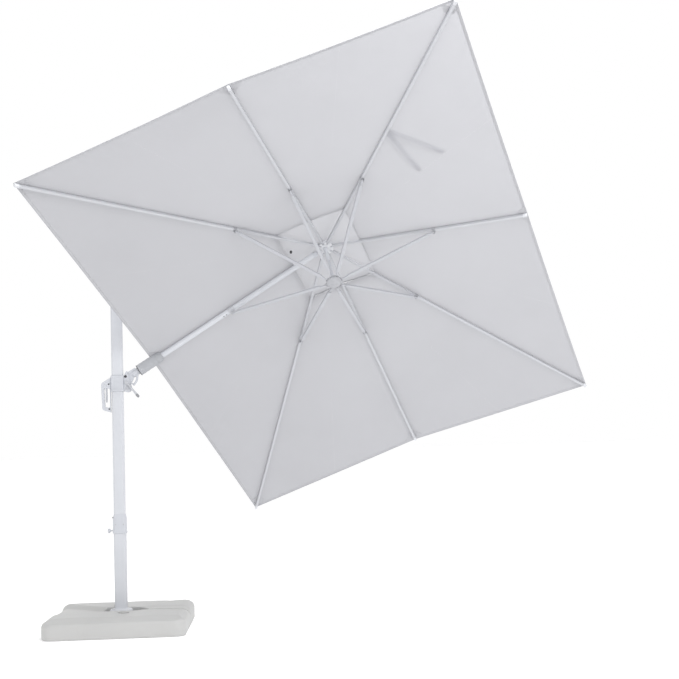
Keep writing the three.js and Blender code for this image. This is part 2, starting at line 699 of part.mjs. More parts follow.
// The small second layer over the crown, with a hole for the finial.
function ventCap() {
  const rim = RIBS.map((rib) => {
    const point = fabricPoint(rib, VENT.reach);
    point.z += VENT.rise;
    return point;
  });
  const hole = RIBS.map(({ azimuth }) => new THREE.Vector3(
    VENT.hole * Math.cos(azimuth), VENT.hole * Math.sin(azimuth), HUB.top + VENT.centreRise,
  ));
  const triangles = [];
  RIBS.forEach((_, i) => {
    const next = (i + 1) % 8;
    triangles.push([8 + i, i, next], [8 + i, next, 8 + next]);
  });
  return sheet([...rim, ...hole], triangles, VENT.thickness);
}

// ---------------------------------------------------------------- the boom and the canopy in place
function buildCanopy(hinge, rolled) {
  const crown = new THREE.Group();
  crown.position.set(HUB.hinge, 0, BOOM_HINGE_DROP);
  hinge.add(crown);
  addPart(crown, 'crown_hub', crownHub(), whitePlastic());
  addPart(crown, 'crown_post', crownPost(), paint());
  addPart(crown, 'crown_finial', finial(), whitePlastic());
  addPart(crown, 'vent_cap', ventCap(), fabric());
  addPart(crown, 'runner_hub', runnerHub(), whitePlastic());
  addPart(crown, 'runner_tube', runnerTube(), paint());
  RIBS.forEach((rib, index) => {
    addPart(crown, `panel_${rib.name}`, canopyPanel(index), fabric());
    const isBoom = rib.name === 'boom';
    const along = pivotAlong(rib);
    const pivotDrop = isBoom ? STRUT.boomPivotDrop : STRUT.pivotDrop;
    const pivot = strutPivot(rib.angle, along, pivotDrop, isBoom ? BOOM_HINGE_DROP : 0);
    const turnTable = new THREE.Group();
    turnTable.rotation.z = rib.azimuth;
    crown.add(turnTable);
    if (isBoom) {
      addPart(rolled, 'strut_bracket', strutBracket(BOOM.length - along), paint());
    } else {
      const arm = new THREE.Group();
      arm.position.set(HUB.hinge, 0, 0);
      arm.rotation.y = rib.angle;
      turnTable.add(arm);
      addPart(arm, `rib_${rib.name}`, ribBody(rib), paint());
    }
    const strut = new THREE.Group();
    const inward = pivot.radius - RUNNER.endRadius;
    const down = RUNNER.depth - pivot.depth;
    strut.position.set(pivot.radius, 0, -pivot.depth);
    strut.rotation.y = Math.PI - Math.atan2(down, inward);
    turnTable.add(strut);
    addPart(strut, `strut_${rib.name}`, strutBody(Math.hypot(inward, down)), paint());
  });
}

function buildBoom(root) {
  const knuckle = new THREE.Group();
  knuckle.position.set(PIVOT.x, 0, PIVOT.z);
  root.add(knuckle);
  addPart(knuckle, 'boom_knuckle', boomKnuckle(), paint());
  const raised = new THREE.Group();
  raised.position.set(BOOM.x, 0, BOOM.z);
  raised.rotation.y = -BOOM.elevation * RAD;
  root.add(raised);
  const rolled = new THREE.Group();
  rolled.rotation.x = TILT * RAD;
  raised.add(rolled);
  addPart(rolled, 'boom_tube', boomTube(), paint());
  addPart(rolled, 'tilt_grip', tiltGrip(), greyPlastic());
  addPart(rolled, 'boom_end_fork', boomEndFork(), paint());
  const hinge = new THREE.Group();
  hinge.position.set(BOOM.length, 0, 0);
  hinge.rotation.y = CANOPY_TO_BOOM * RAD;
  rolled.add(hinge);
  buildCanopy(hinge, rolled);
}

const group = new THREE.Group();
buildBase(group);
buildMast(group);
buildCarriage(group);
buildBoom(group);

export default group;
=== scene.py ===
"""A white cantilever parasol on a weighted base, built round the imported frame. Metres, +Z up."""
import json
import math
from collections import namedtuple

import bmesh
import bpy
import numpy as np
from mathutils import Matrix, Vector
from mathutils import noise as mnoise

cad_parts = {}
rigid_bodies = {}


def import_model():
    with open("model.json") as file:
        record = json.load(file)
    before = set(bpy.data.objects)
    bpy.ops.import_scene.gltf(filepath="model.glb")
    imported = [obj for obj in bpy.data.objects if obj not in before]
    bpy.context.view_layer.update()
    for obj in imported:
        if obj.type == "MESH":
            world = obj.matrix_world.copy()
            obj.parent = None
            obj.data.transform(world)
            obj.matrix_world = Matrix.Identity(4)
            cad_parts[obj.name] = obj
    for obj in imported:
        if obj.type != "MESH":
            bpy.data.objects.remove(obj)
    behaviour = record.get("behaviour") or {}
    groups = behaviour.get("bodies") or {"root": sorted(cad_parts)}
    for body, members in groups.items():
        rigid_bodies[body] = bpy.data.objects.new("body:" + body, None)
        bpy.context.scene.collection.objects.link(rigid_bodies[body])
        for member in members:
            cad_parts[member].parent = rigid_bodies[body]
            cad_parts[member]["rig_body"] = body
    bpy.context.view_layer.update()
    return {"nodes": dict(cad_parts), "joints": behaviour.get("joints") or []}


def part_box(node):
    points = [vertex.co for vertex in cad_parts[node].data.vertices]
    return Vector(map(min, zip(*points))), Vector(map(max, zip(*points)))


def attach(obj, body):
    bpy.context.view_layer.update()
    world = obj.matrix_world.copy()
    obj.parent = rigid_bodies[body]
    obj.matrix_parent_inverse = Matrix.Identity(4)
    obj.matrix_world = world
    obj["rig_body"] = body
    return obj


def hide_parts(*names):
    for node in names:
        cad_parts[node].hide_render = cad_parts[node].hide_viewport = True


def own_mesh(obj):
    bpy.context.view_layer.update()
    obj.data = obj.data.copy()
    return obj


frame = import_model()
joints = {joint["name"]: joint for joint in frame["joints"]}


# ------------------------------------------------------------------ places from the frame
def unit(v):
    v = np.asarray(v, float)
    return v / np.linalg.norm(v)


def joint_point(name):
    return np.array(joints[name]["pos_m"], float)


def joint_axis(name):
    return unit(joints[name]["axis"])


def matrix(origin, x, y, z):
    m = Matrix.Identity(4)
    for column, axis in enumerate((x, y, z, origin)):
        for row in range(3):
            m[row][column] = float(axis[row])
    return m


CANOPY_UP = -joint_axis("runner_slide")
CANOPY_Y = joint_axis("canopy_fold")
CANOPY_X = np.cross(CANOPY_Y, CANOPY_UP)
CROWN = (joint_point("rib_left_fold") + joint_point("rib_right_fold")) / 2
CANOPY = matrix(CROWN, CANOPY_X, CANOPY_Y, CANOPY_UP)
BOOM_AXIS = joint_axis("canopy_tilt")  # from the mast towards the crown
BOOM_START = joint_point("canopy_tilt")
BOOM_END = joint_point("canopy_fold")
BOOM_UP = np.cross(BOOM_AXIS, CANOPY_Y)
BOOM = matrix(BOOM_START, BOOM_AXIS, CANOPY_Y, BOOM_UP)
BOOM_FROM_CROWN = matrix(BOOM_END, -BOOM_AXIS, -CANOPY_Y, BOOM_UP)
SWIVEL = joint_point("boom_elevation")
KNUCKLE_UP = unit(np.cross(BOOM_AXIS, (0, 1, 0)))
KNUCKLE = matrix(BOOM_START, BOOM_AXIS, (0, 1, 0), KNUCKLE_UP)

HALF_SHORT, HALF_LONG = 1.370, 1.830
HUB_RADIUS = float(np.linalg.norm(joint_point("rib_left_fold") - CROWN))
FABRIC_RISE = 0.0145  # fabric above a rib's centre line
BOOM_RADIUS = 0.019
RUNNER_Z = -0.350  # the runner's height in the canopy's frame
SOCKET_RADIUS = 0.058  # where the struts end, from the canopy's axis

RIB_NAMES = ("outer", "outer_right", "right", "inner_right", "boom", "inner_left", "left", "outer_left")
RIB_STEPS = ((1, 0), (1, 1), (0, 1), (-1, 1), (-1, 0), (-1, -1), (0, -1), (1, -1))


class Rib:
    """One rib's place in the canopy: its hinge, its direction and its tip, in the canopy's own frame."""

    def __init__(self, name, step):
        self.name = name
        self.tip = np.array([step[0] * HALF_SHORT, step[1] * HALF_LONG])
        self.reach = float(np.hypot(*self.tip))
        self.azimuth = math.atan2(self.tip[1], self.tip[0])
        self.out = np.array([math.cos(self.azimuth), math.sin(self.azimuth)])
        if name == "boom":
            self.body = "boom"
            self.angle = math.acos(float(np.clip(np.dot(BOOM_AXIS, CANOPY_X), -1, 1)))
        else:
            self.body = "rib_" + name
            self.angle = self.rest_angle(name)
        self.slope = math.tan(self.angle)
        self.length = (self.reach - HUB_RADIUS) / math.cos(self.angle)

    def rest_angle(self, name):
        """The angle below the canopy's level plane, from the rib's CAD solid."""
        node = frame["nodes"]["rib_" + name]
        local = np.array([CANOPY.inverted() @ v.co for v in node.data.vertices])
        along = local[:, :2] @ self.out
        far = local[along > along.max() - 0.004]
        return math.atan2(-float(far[:, 2].mean()), float(far[:, :2].mean(0) @ self.out) - HUB_RADIUS)

    def height(self, radius):
        """Height of the fabric above this rib at a distance from the crown's axis."""
        return FABRIC_RISE / math.cos(self.angle) - self.slope * (radius - HUB_RADIUS)

    def frame(self):
        """x runs along the rib from its hinge, z is up."""
        if self.name == "boom":
            return BOOM_FROM_CROWN
        out = np.array([*self.out, 0.0])
        across = np.array([-self.out[1], self.out[0], 0.0])
        x = math.cos(self.angle) * out - math.sin(self.angle) * np.array([0, 0, 1.0])
        return CANOPY @ matrix(out * HUB_RADIUS, x, across, np.cross(x, across))


RIBS = [Rib(name, step) for name, step in zip(RIB_NAMES, RIB_STEPS)]
RIB = {rib.name: rib for rib in RIBS}


# ------------------------------------------------------------------ materials
class Nodes:
    """A material's node tree, with short calls for the few nodes used here."""

    def __init__(self, name):
        self.material = bpy.data.materials.new(name)
        self.material.use_nodes = True
        self.tree = self.material.node_tree
        self.tree.nodes.clear()
        self.output = self.tree.nodes.new("ShaderNodeOutputMaterial")
        self.shader = self.tree.nodes.new("ShaderNodeBsdfPrincipled")
        self.link(self.shader.outputs[0], self.output.inputs["Surface"])

    def node(self, kind, **values):
        node = self.tree.nodes.new(kind)
        for key, value in values.items():
            if key in node.inputs:
                node.inputs[key].default_value = value
            else:
                setattr(node, key, value)
        return node

    def link(self, source, target):
        self.tree.links.new(source, target)

    def feed(self, socket, source):
        """Links a value to one of the shader's sockets."""
        self.link(source, self.shader.inputs[socket])

    def constant(self, socket, value):
        self.shader.inputs[socket].default_value = value

    def coordinates(self, kind="Object"):
        return self.node("ShaderNodeTexCoord").outputs[kind]

    def noise(self, scale, detail=4.0, roughness=0.55):
        node = self.node("ShaderNodeTexNoise", Scale=scale, Detail=detail, Roughness=roughness)
        self.link(self.coordinates(), node.inputs["Vector"])
        return node.outputs["Fac"]

    def ramp(self, factor, *stops):
        node = self.node("ShaderNodeValToRGB")
        elements = node.color_ramp.elements
        while len(elements) < len(stops):
            elements.new(0.5)
        for element, (position, colour) in zip(elements, stops):
            element.position = position
            element.color = (*colour, 1.0)
        self.link(factor, node.inputs["Fac"])
        return node.outputs["Color"]

    def spread(self, factor, low, high):
        node = self.node("ShaderNodeMapRange")
        node.inputs["To Min"].default_value = low
        node.inputs["To Max"].default_value = high
        self.link(factor, node.inputs["Value"])
        return node.outputs["Result"]

    def math(self, operation, a, b=None):
        node = self.node("ShaderNodeMath", operation=operation)
        for socket, value in zip(node.inputs, (a, b)):
            if isinstance(value, (int, float)):
                socket.default_value = value
            elif value is not None:
                self.link(value, socket)
        return node.outputs[0]

    def times(self, a, b):
        return self.math("MULTIPLY", a, b)

    def bump(self, height, distance, strength, normal=None):
        node = self.node("ShaderNodeBump", Strength=strength, Distance=distance)
        self.link(height, node.inputs["Height"])
        if normal is not None:
            self.link(normal, node.inputs["Normal"])
        return node.outputs["Normal"]


Finish = namedtuple("Finish", "material slot")  # a material and the record's slot that it stands for


def shades(colour, *factors):
    return [tuple(c * factor for c in colour) for factor in factors]


def powder_coat(name, colour, roughness=0.38, slot="painted_aluminium"):
    """Painted metal: an even colour, a fine orange peel and slightly dulled patches."""
    n = Nodes(name)
    cloud = n.noise(3.2, 3.0)
    low, middle, high = shades(colour, 0.955, 1.0, 1.02)
    n.feed("Base Color", n.ramp(cloud, (0.25, low), (0.55, middle), (0.8, high)))
    n.feed("Roughness", n.spread(n.noise(38.0, 3.0), roughness - 0.06, roughness + 0.1))
    n.feed("Normal", n.bump(n.noise(900.0, 2.0), 0.00006, 0.5))
    n.constant("Coat Weight", 0.15)
    n.constant("Coat Roughness", 0.25)
    return Finish(n.material, slot)


def moulded_plastic(name, slot, colour, roughness=0.5, grain=600.0, depth=0.00012, dust=0.04):
    """Moulded plastic: a fine spark-eroded grain, slight flow clouds and patches of dust at random."""
    n = Nodes(name)
    dull, = shades(colour, 1 - dust)
    n.feed("Base Color", n.ramp(n.noise(5.0, 5.0, 0.6), (0.3, dull), (0.62, colour)))
    n.feed("Roughness", n.spread(n.noise(24.0, 4.0), roughness - 0.07, roughness + 0.12))
    n.feed("Normal", n.bump(n.noise(grain, 3.0), depth, 0.6))
    return Finish(n.material, slot)


def tank_plastic():
    """Blow-moulded polyethylene: soft sheen, sunken ripples over large faces and a fine grain."""
    n = Nodes("tank_plastic")
    cloud = n.noise(2.6, 5.0, 0.6)
    speck = n.noise(140.0, 2.0)
    low, middle, high = shades((0.50, 0.50, 0.495), 0.94, 1.0, 1.03)
    n.feed("Base Color", n.ramp(cloud, (0.25, low), (0.6, middle), (0.85, high)))
    n.feed("Roughness", n.spread(speck, 0.38, 0.58))
    broad = n.bump(n.noise(7.0, 2.0), 0.004, 0.25)
    n.feed("Normal", n.bump(n.noise(520.0, 3.0), 0.0002, 0.5, broad))
    n.constant("Subsurface Weight", 0.08)
    n.constant("Subsurface Radius", (0.02, 0.02, 0.018))
    return Finish(n.material, "tank_plastic")


def brushed_steel():
    n = Nodes("zinc_steel")
    streak = n.noise(90.0, 3.0)
    n.feed("Base Color", n.ramp(streak, (0.3, (0.42, 0.42, 0.43)), (0.7, (0.62, 0.62, 0.63))))
    n.feed("Roughness", n.spread(n.noise(60.0), 0.25, 0.45))
    n.feed("Normal", n.bump(n.noise(1200.0), 0.00003, 0.5))
    n.constant("Metallic", 1.0)
    return Finish(n.material, "steel")


THREAD_PITCH = 0.0011  # of the weave
STITCH_X, STITCH_Y = HALF_SHORT - 0.004, HALF_LONG - 0.004  # the outer row of stitches in the hem
STITCH_ROW_GAP = 0.0075
STITCH_LENGTH = 0.0046
STITCH_HALF_WIDTH = 0.0005


def stitches(n, split):
    """Dashed lock stitches: two rows along a hem, at fixed distances from the canopy's middle."""
    rows = []
    for across, along, middle in (("X", "Y", STITCH_X), ("Y", "X", STITCH_Y)):
        distance = n.math("ABSOLUTE", split.outputs[across])
        for spot in (middle, middle - STITCH_ROW_GAP):
            off = n.math("ABSOLUTE", n.math("SUBTRACT", distance, spot))
            line = n.math("LESS_THAN", off, STITCH_HALF_WIDTH)
            wave = n.math("SINE", n.times(split.outputs[along], 2 * math.pi / STITCH_LENGTH))
            rows.append(n.times(line, n.math("GREATER_THAN", wave, -0.35)))
    total = rows[0]
    for row in rows[1:]:
        total = n.math("MAXIMUM", total, row)
    return total


def canopy_fabric(name, colour, translucency, stitched=False):
    """Coated polyester: a plain weave in the cloth's own grain, slubs, dye clouds and light through it."""
    n = Nodes(name)
    split = n.node("ShaderNodeSeparateXYZ")
    n.link(n.coordinates("UV"), split.inputs[0])
    warp, weft = (n.math("SINE", n.times(split.outputs[way], 2 * math.pi / THREAD_PITCH)) for way in "XY")
    slub = n.noise(420.0, 3.0, 0.6)
    height = n.math("ADD", n.times(n.times(warp, weft), 0.5), slub)
    cloud = n.noise(1.1, 5.0, 0.62)
    low, middle, high = shades(colour, 0.965, 1.0, 1.015)
    base = n.ramp(cloud, (0.28, low), (0.52, middle), (0.75, high))
    tint = n.ramp(slub, (0.3, (0.93, 0.93, 0.94)), (0.7, (1.0, 1.0, 1.0)))
    if stitched:
        thread = stitches(n, split)
        height = n.math("ADD", height, n.times(thread, 1.5))
        shade = n.node("ShaderNodeMix", data_type="RGBA", blend_type="MIX")
        n.link(n.times(thread, 0.35), shade.inputs["Factor"])
        n.link(tint, shade.inputs["A"])
        shade.inputs["B"].default_value = (0.45, 0.45, 0.47, 1.0)
        tint = shade.outputs["Result"]
    fine = n.node("ShaderNodeMix", data_type="RGBA", blend_type="MULTIPLY")
    fine.inputs["Factor"].default_value = 0.35
    n.link(base, fine.inputs["A"])
    n.link(tint, fine.inputs["B"])
    n.feed("Base Color", fine.outputs["Result"])
    n.feed("Roughness", n.spread(slub, 0.78, 0.95))
    n.feed("Normal", n.bump(height, 0.00025, 0.45))
    n.constant("Sheen Weight", 0.12)
    n.constant("Sheen Roughness", 0.5)
    through = n.node("ShaderNodeBsdfTranslucent")
    n.link(fine.outputs["Result"], through.inputs["Color"])
    mix = n.node("ShaderNodeMixShader")
    mix.inputs[0].default_value = translucency
    n.link(n.shader.outputs[0], mix.inputs[1])
    n.link(through.outputs[0], mix.inputs[2])
    n.link(mix.outputs[0], n.output.inputs["Surface"])
    return Finish(n.material, "canopy_fabric")


PAINT = powder_coat("white_powder_coat", (0.58, 0.594, 0.63))
# painted shade: the ribs and struts wear the same white powder coat as the mast; these two darker copies
# stand in for the shade under the canopy
SHADED_RIB_PAINT = powder_coat("rib_powder_coat", (0.51, 0.518, 0.547))
SHADED_STRUT_PAINT = powder_coat("strut_powder_coat", (0.46, 0.468, 0.50))
CAST_PAINT = powder_coat("cast_powder_coat", (0.535, 0.55, 0.59), 0.42)
STEEL_PAINT = powder_coat("steel_powder_coat", (0.55, 0.56, 0.58), 0.45, "painted_steel")
WHITE_PLASTIC = moulded_plastic("white_nylon", "white_plastic", (0.64, 0.65, 0.68), 0.42)
GREY_PLASTIC = moulded_plastic("grey_nylon", "grey_plastic", (0.47, 0.48, 0.51), 0.55, dust=0.1)
DARK_PLASTIC = moulded_plastic("dark_nylon", "dark_plastic", (0.045, 0.045, 0.05), 0.5, dust=0.25)
DARK_GREY = moulded_plastic("smoke_nylon", "dark_plastic", (0.13, 0.13, 0.14), 0.5, dust=0.15)
TIP_GREY = moulded_plastic("tip_nylon", "dark_plastic", (0.27, 0.275, 0.29), 0.5, dust=0.12)
GREY_LIGHT = moulded_plastic("pale_grey_nylon", "grey_plastic", (0.50, 0.51, 0.54), 0.5, dust=0.08)
GRIP_PLASTIC = moulded_plastic("grip_rubber", "grey_plastic", (0.42, 0.43, 0.455), 0.62, 420.0, 0.0004, 0.16)
# painted shade: the runner is white nylon, darkened here to stand in for the shade under the canopy
SHADED_RUNNER_PLASTIC = moulded_plastic("runner_nylon", "white_plastic", (0.42, 0.425, 0.45), 0.45, dust=0.06)
SADDLE_PLASTIC = moulded_plastic("saddle_nylon", "grey_plastic", (0.40, 0.405, 0.43), 0.5, dust=0.1)
TANK = tank_plastic()
STEEL = brushed_steel()
FABRIC = canopy_fabric("canopy_polyester", (0.49, 0.492, 0.515), 0.36)
# painted light: the vent is the same cloth as the canopy, made lighter to undo the shade under the second
# layer
LIT_VENT_FABRIC = canopy_fabric("vent_polyester", (0.535, 0.537, 0.56), 0.5)
HEM = canopy_fabric("hem_polyester", (0.50, 0.502, 0.525), 0.10, stitched=True)
WELT = canopy_fabric("welt_polyester", (0.45, 0.455, 0.48), 0.02)
WEBBING = canopy_fabric("strap_polyester", (0.84, 0.845, 0.87), 0.62)


# ------------------------------------------------------------------ mesh tools
def linked(name, data):
    """A new object in the scene."""
    obj = bpy.data.objects.new(name, data)
    bpy.context.scene.collection.objects.link(obj)
    return obj


def evaluated(obj):
    """The object's shape as a mesh, with its modifiers applied."""
    bpy.context.view_layer.update()
    graph = bpy.context.evaluated_depsgraph_get()
    return bpy.data.meshes.new_from_object(obj.evaluated_get(graph))


def dressed(obj, finish, body, replaces=None):
    """Gives an object its material, hangs it on the body it rides on and hides the CAD node it stands for."""
    obj.data.materials.clear()
    obj.data.materials.append(finish.material)
    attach(obj, body)
    if replaces:
        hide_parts(replaces)
    return obj


def settle(obj, finish, body, replaces, sharp=38.0):
    """Merges double points; edges sharper than the angle stay crisp."""
    mesh = obj.data
    build = bmesh.new()
    build.from_mesh(mesh)
    bmesh.ops.remove_doubles(build, verts=build.verts, dist=1e-6)
    bmesh.ops.recalc_face_normals(build, faces=build.faces)
    build.to_mesh(mesh)
    build.free()
    mesh.shade_smooth()
    mesh.set_sharp_from_angle(angle=math.radians(sharp))
    return dressed(obj, finish, body, replaces)


def piece(name, part, finish, body, at=None, replaces=None, sharp=38.0):
    """A new object from (vertices, faces), turned and moved by a matrix, that rides on a body."""
    verts, faces = part if at is None else place(part, at)
    mesh = bpy.data.meshes.new(name)
    mesh.from_pydata([tuple(v) for v in verts], [], [tuple(f) for f in faces])
    mesh.validate()
    return settle(linked(name, mesh), finish, body, replaces, sharp)


def loft(rings):
    """Vertices and faces of a closed skin over rings with the same number of points each."""
    rings = [np.asarray(ring, float) for ring in rings]
    count = len(rings[0])
    faces = []
    for i in range(len(rings) - 1):
        for j in range(count):
            k = (j + 1) % count
            faces.append((i * count + j, i * count + k, (i + 1) * count + k, (i + 1) * count + j))
    faces.append(tuple(range(count))[::-1])
    faces.append(tuple(range((len(rings) - 1) * count, len(rings) * count)))
    return np.concatenate(rings), faces


def joined(*parts):
    """Several (vertices, faces) pairs as one."""
    verts, faces, base = [], [], 0
    for part_verts, part_faces in parts:
        verts.append(np.asarray(part_verts, float))
        faces += [tuple(i + base for i in face) for face in part_faces]
        base += len(part_verts)
    return np.concatenate(verts), faces


def place(part, transform):
    verts, faces = part
    return np.array([transform @ Vector(v) for v in verts]), faces


def upright_ring(x, outline):
    """An outline drawn in y and z, at a place along x."""
    return np.column_stack([np.full(len(outline), x), outline])


def level_ring(outline, z):
    """An outline drawn in x and y, at a height."""
    return np.column_stack([outline, np.full(len(outline), z)])


def rounded(half_x, half_y, radius, steps):
    """Corner arcs of a rounded rectangle, anticlockwise."""
    points = []
    for k, (sx, sy) in enumerate(((1, 1), (-1, 1), (-1, -1), (1, -1))):
        for i in range(steps + 1):
            t = (k + i / steps) * math.pi / 2
            x = sx * (half_x - radius) + radius * math.cos(t)
            points.append((x, sy * (half_y - radius) + radius * math.sin(t)))
    return np.array(points)


def bar(half_y, half_z, radius, stations):
    """A rounded rectangular bar along x; each station is (x, scale) and the ends are closed."""
    outline = rounded(half_y, half_z, radius, 4)
    return loft([upright_ring(x, outline * scale) for x, scale in stations])


def eased(start, end, soft, shrink):
    """Stations of a bar whose ends are slightly rounded."""
    return [(start, shrink), (start + soft, 1.0), (end - soft, 1.0), (end, shrink)]


def spun(profile, segments):
    """A solid of revolution about z from (radius, height) pairs; a radius of 0 closes an end."""
    verts, faces, rows = [], [], []
    for radius, height in profile:
        if radius == 0:
            rows.append([len(verts)])
            verts.append((0.0, 0.0, height))
            continue
        rows.append(list(range(len(verts), len(verts) + segments)))
        for i in range(segments):
            t = 2 * math.pi * i / segments
            verts.append((radius * math.cos(t), radius * math.sin(t), height))
    for low, high in zip(rows, rows[1:]):
        for i in range(segments):
            k = (i + 1) % segments
            if len(low) == 1:
                faces.append((low[0], high[k], high[i]))
            elif len(high) == 1:
                faces.append((low[i], low[k], high[0]))
            else:
                faces.append((low[i], low[k], high[k], high[i]))
    return np.array(verts), faces


def lobed(part, factor_of):
    """Scales a spun part's points sideways by a factor of their (radius, angle, height)."""
    verts, faces = part
    x, y, z = verts.T
    factor = factor_of(np.hypot(x, y), np.arctan2(y, x), z)
    return verts * np.column_stack([factor, factor, np.ones(len(verts))]), faces


def cylinder(radius, start, end, soft, segments):
    edge = soft * 0.3
    low = [(0, start), (radius - soft, start), (radius - edge, start + edge), (radius, start + soft)]
    high = [(radius, end - soft), (radius - edge, end - edge), (radius - soft, end), (0, end)]
    return spun(low + high, segments)


ALONG_X = Matrix.Rotation(math.pi / 2, 4, "Y")  # turns +z onto +x
BACK_X = Matrix.Rotation(-math.pi / 2, 4, "Y")  # turns +z onto -x
ALONG_Y = Matrix.Rotation(-math.pi / 2, 4, "X")  # turns +z onto +y
SIDES = (("near", -1), ("far", 1))


def shift(x=0.0, y=0.0, z=0.0):
    return Matrix.Translation((x, y, z))


def turned(degrees, axis="Z"):
    return Matrix.Rotation(math.radians(degrees), 4, axis)


def outward(side, x, y, z):
    """A place on one side of y = 0, where +z is turned away from that plane."""
    return shift(x, side * y, z) @ Matrix.Rotation(side * -math.pi / 2, 4, "X")


def on_both_sides(part, x, y, z):
    return [place(part, outward(side, x, y, z)) for side in (-1, 1)]


def plate(name, outlines, thickness, soft, finish, body, at=None, replaces=None, steps=2):
    """A flat plate with rounded edges. Outlines are closed lists of (x, z) points, the first one outside;
    the plate is centred on y = 0 of its own place."""
    curve = bpy.data.curves.new(name, "CURVE")
    curve.dimensions = "2D"
    curve.fill_mode = "BOTH"
    curve.extrude = thickness / 2 - soft
    curve.bevel_depth = soft
    curve.bevel_resolution = steps
    curve.offset = -soft
    for outline in outlines:
        spline = curve.splines.new("POLY")
        spline.points.add(len(outline) - 1)
        for point, (x, z) in zip(spline.points, outline):
            point.co = (x, z, 0.0, 1.0)
        spline.use_cyclic_u = True
    holder = linked(name + "_curve", curve)
    mesh = evaluated(holder)
    bpy.data.objects.remove(holder)
    upright = Matrix.Rotation(math.pi / 2, 4, "X")
    mesh.transform(upright if at is None else at @ upright)
    return settle(linked(name, mesh), finish, body, replaces)


def arc(x, z, radius, start, end, steps):
    angles = [math.radians(start + (end - start) * i / steps) for i in range(steps + 1)]
    return [(x + radius * math.cos(t), z + radius * math.sin(t)) for t in angles]


def screw(radius, height):
    """A pan head with a socket, standing on z = 0."""
    return spun([(0, 0), (radius, 0), (radius, height * 0.35), (radius * 0.8, height * 0.85),
                 (radius * 0.5, height), (radius * 0.48, height * 0.55), (0, height * 0.5)], 20)


# ------------------------------------------------------------------ canopy fabric
OPENING = 0.18  # share of a rib's reach where the main fabric starts
VENT_REACH = 0.197  # share of a rib's reach where the vent ends
VENT_RISE = 0.046  # the vent's rim above the main fabric
VENT_HOLE = 0.013  # radius of the hole round the finial
VENT_TOP = 0.036  # height of that hole
VENT_TOP_SHARE = 0.15  # share of the vent that stays with the crown when the ribs fold
VENT_WINGS_START = VENT_TOP_SHARE + 0.0004
EDGE_PULL = 0.0025  # the hem curves in between two ribs by this share
PANEL_ARCH, PANEL_SAG = 0.007, 0.004  # between two ribs: highest half way out, and even all the way
RIPPLE, RIPPLE_LENGTH = 0.0006, 0.095  # along the hem
UNEVEN = 0.0022  # slow waves in the cloth
VENT_ARCH, VENT_SAG = 0.012, 0.006
VENT_RIPPLE, VENT_RIPPLE_LENGTH = 0.0012, 0.07
FABRIC_GRID = (64, 26)  # a wing's rows, and its columns on each side of the rib
VENT_GRID = (24, 12)
WING_HALF = 0.49995  # a wing ends just short of half way to the next rib
CUT_ACROSS, CUT_ALONG = 1.02, 1.06  # what the turnings add to a sheet
FOLD_ANCHOR = 0.6  # share of a rib's reach where fold_with takes a place on the rib


def rib_line(rib, fraction):
    radius = rib.reach * fraction
    return np.array([*(rib.out * radius), rib.height(radius)])


def main_surface(sector, fraction, t):
    """A point of the main fabric between two neighbouring ribs, t from one rib to the next."""
    sector %= 8
    a, b = RIBS[sector], RIBS[(sector + 1) % 8]
    point = rib_line(a, fraction) * (1 - t) + rib_line(b, fraction) * t
    bow = 4 * t * (1 - t)
    point[:2] *= 1 - EDGE_PULL * bow * fraction ** 3
    point[2] += PANEL_ARCH * bow * math.sin(math.pi * min(fraction, 1.0)) - PANEL_SAG * bow
    edge = math.exp(-(1 - fraction) * 16)
    along = t * float(np.linalg.norm(a.tip - b.tip))
    ripple = math.sin(along * 2 * math.pi / RIPPLE_LENGTH + 2.1 * math.sin(along * 5.0 + sector))
    point[2] += RIPPLE * edge * bow * ripple
    point[2] += UNEVEN * bow * mnoise.noise(Vector((point[0] * 2.3, point[1] * 2.3, sector * 3.7)))
    return point


def vent_surface(sector, fraction, t):
    """A point of the second layer over the crown. The fraction is 0 at its hole and 1 at its rim."""
    sector %= 8
    ends = []
    for rib in (RIBS[sector], RIBS[(sector + 1) % 8]):
        rim = rib_line(rib, VENT_REACH)
        rim[2] += VENT_RISE
        hole = np.array([*(rib.out * VENT_HOLE), VENT_TOP])
        crest = hole * (1 - fraction) + rim * fraction
        crest[2] += VENT_ARCH * math.sin(math.pi * fraction)
        ends.append(crest)
    point = ends[0] * (1 - t) + ends[1] * t
    bow = 4 * t * (1 - t)
    point[2] -= VENT_SAG * bow * fraction
    along = t * float(np.linalg.norm(ends[0] - ends[1]))
    ripple = math.sin(along * 2 * math.pi / VENT_RIPPLE_LENGTH + sector)
    point[2] += VENT_RIPPLE * bow * fraction ** 4 * ripple
    return point


def surface_normal(surface, sector, fraction, t, step=0.004):
    low, high = max(fraction - step, 0.0), min(fraction + step, 1.0)
    left, right = max(t - step, 0.0), min(t + step, 1.0)
    along = surface(sector, high, t) - surface(sector, low, t)
    across = surface(sector, fraction, right) - surface(sector, fraction, left)
    normal = unit(np.cross(along, across))
    return normal if normal[2] > 0 else -normal


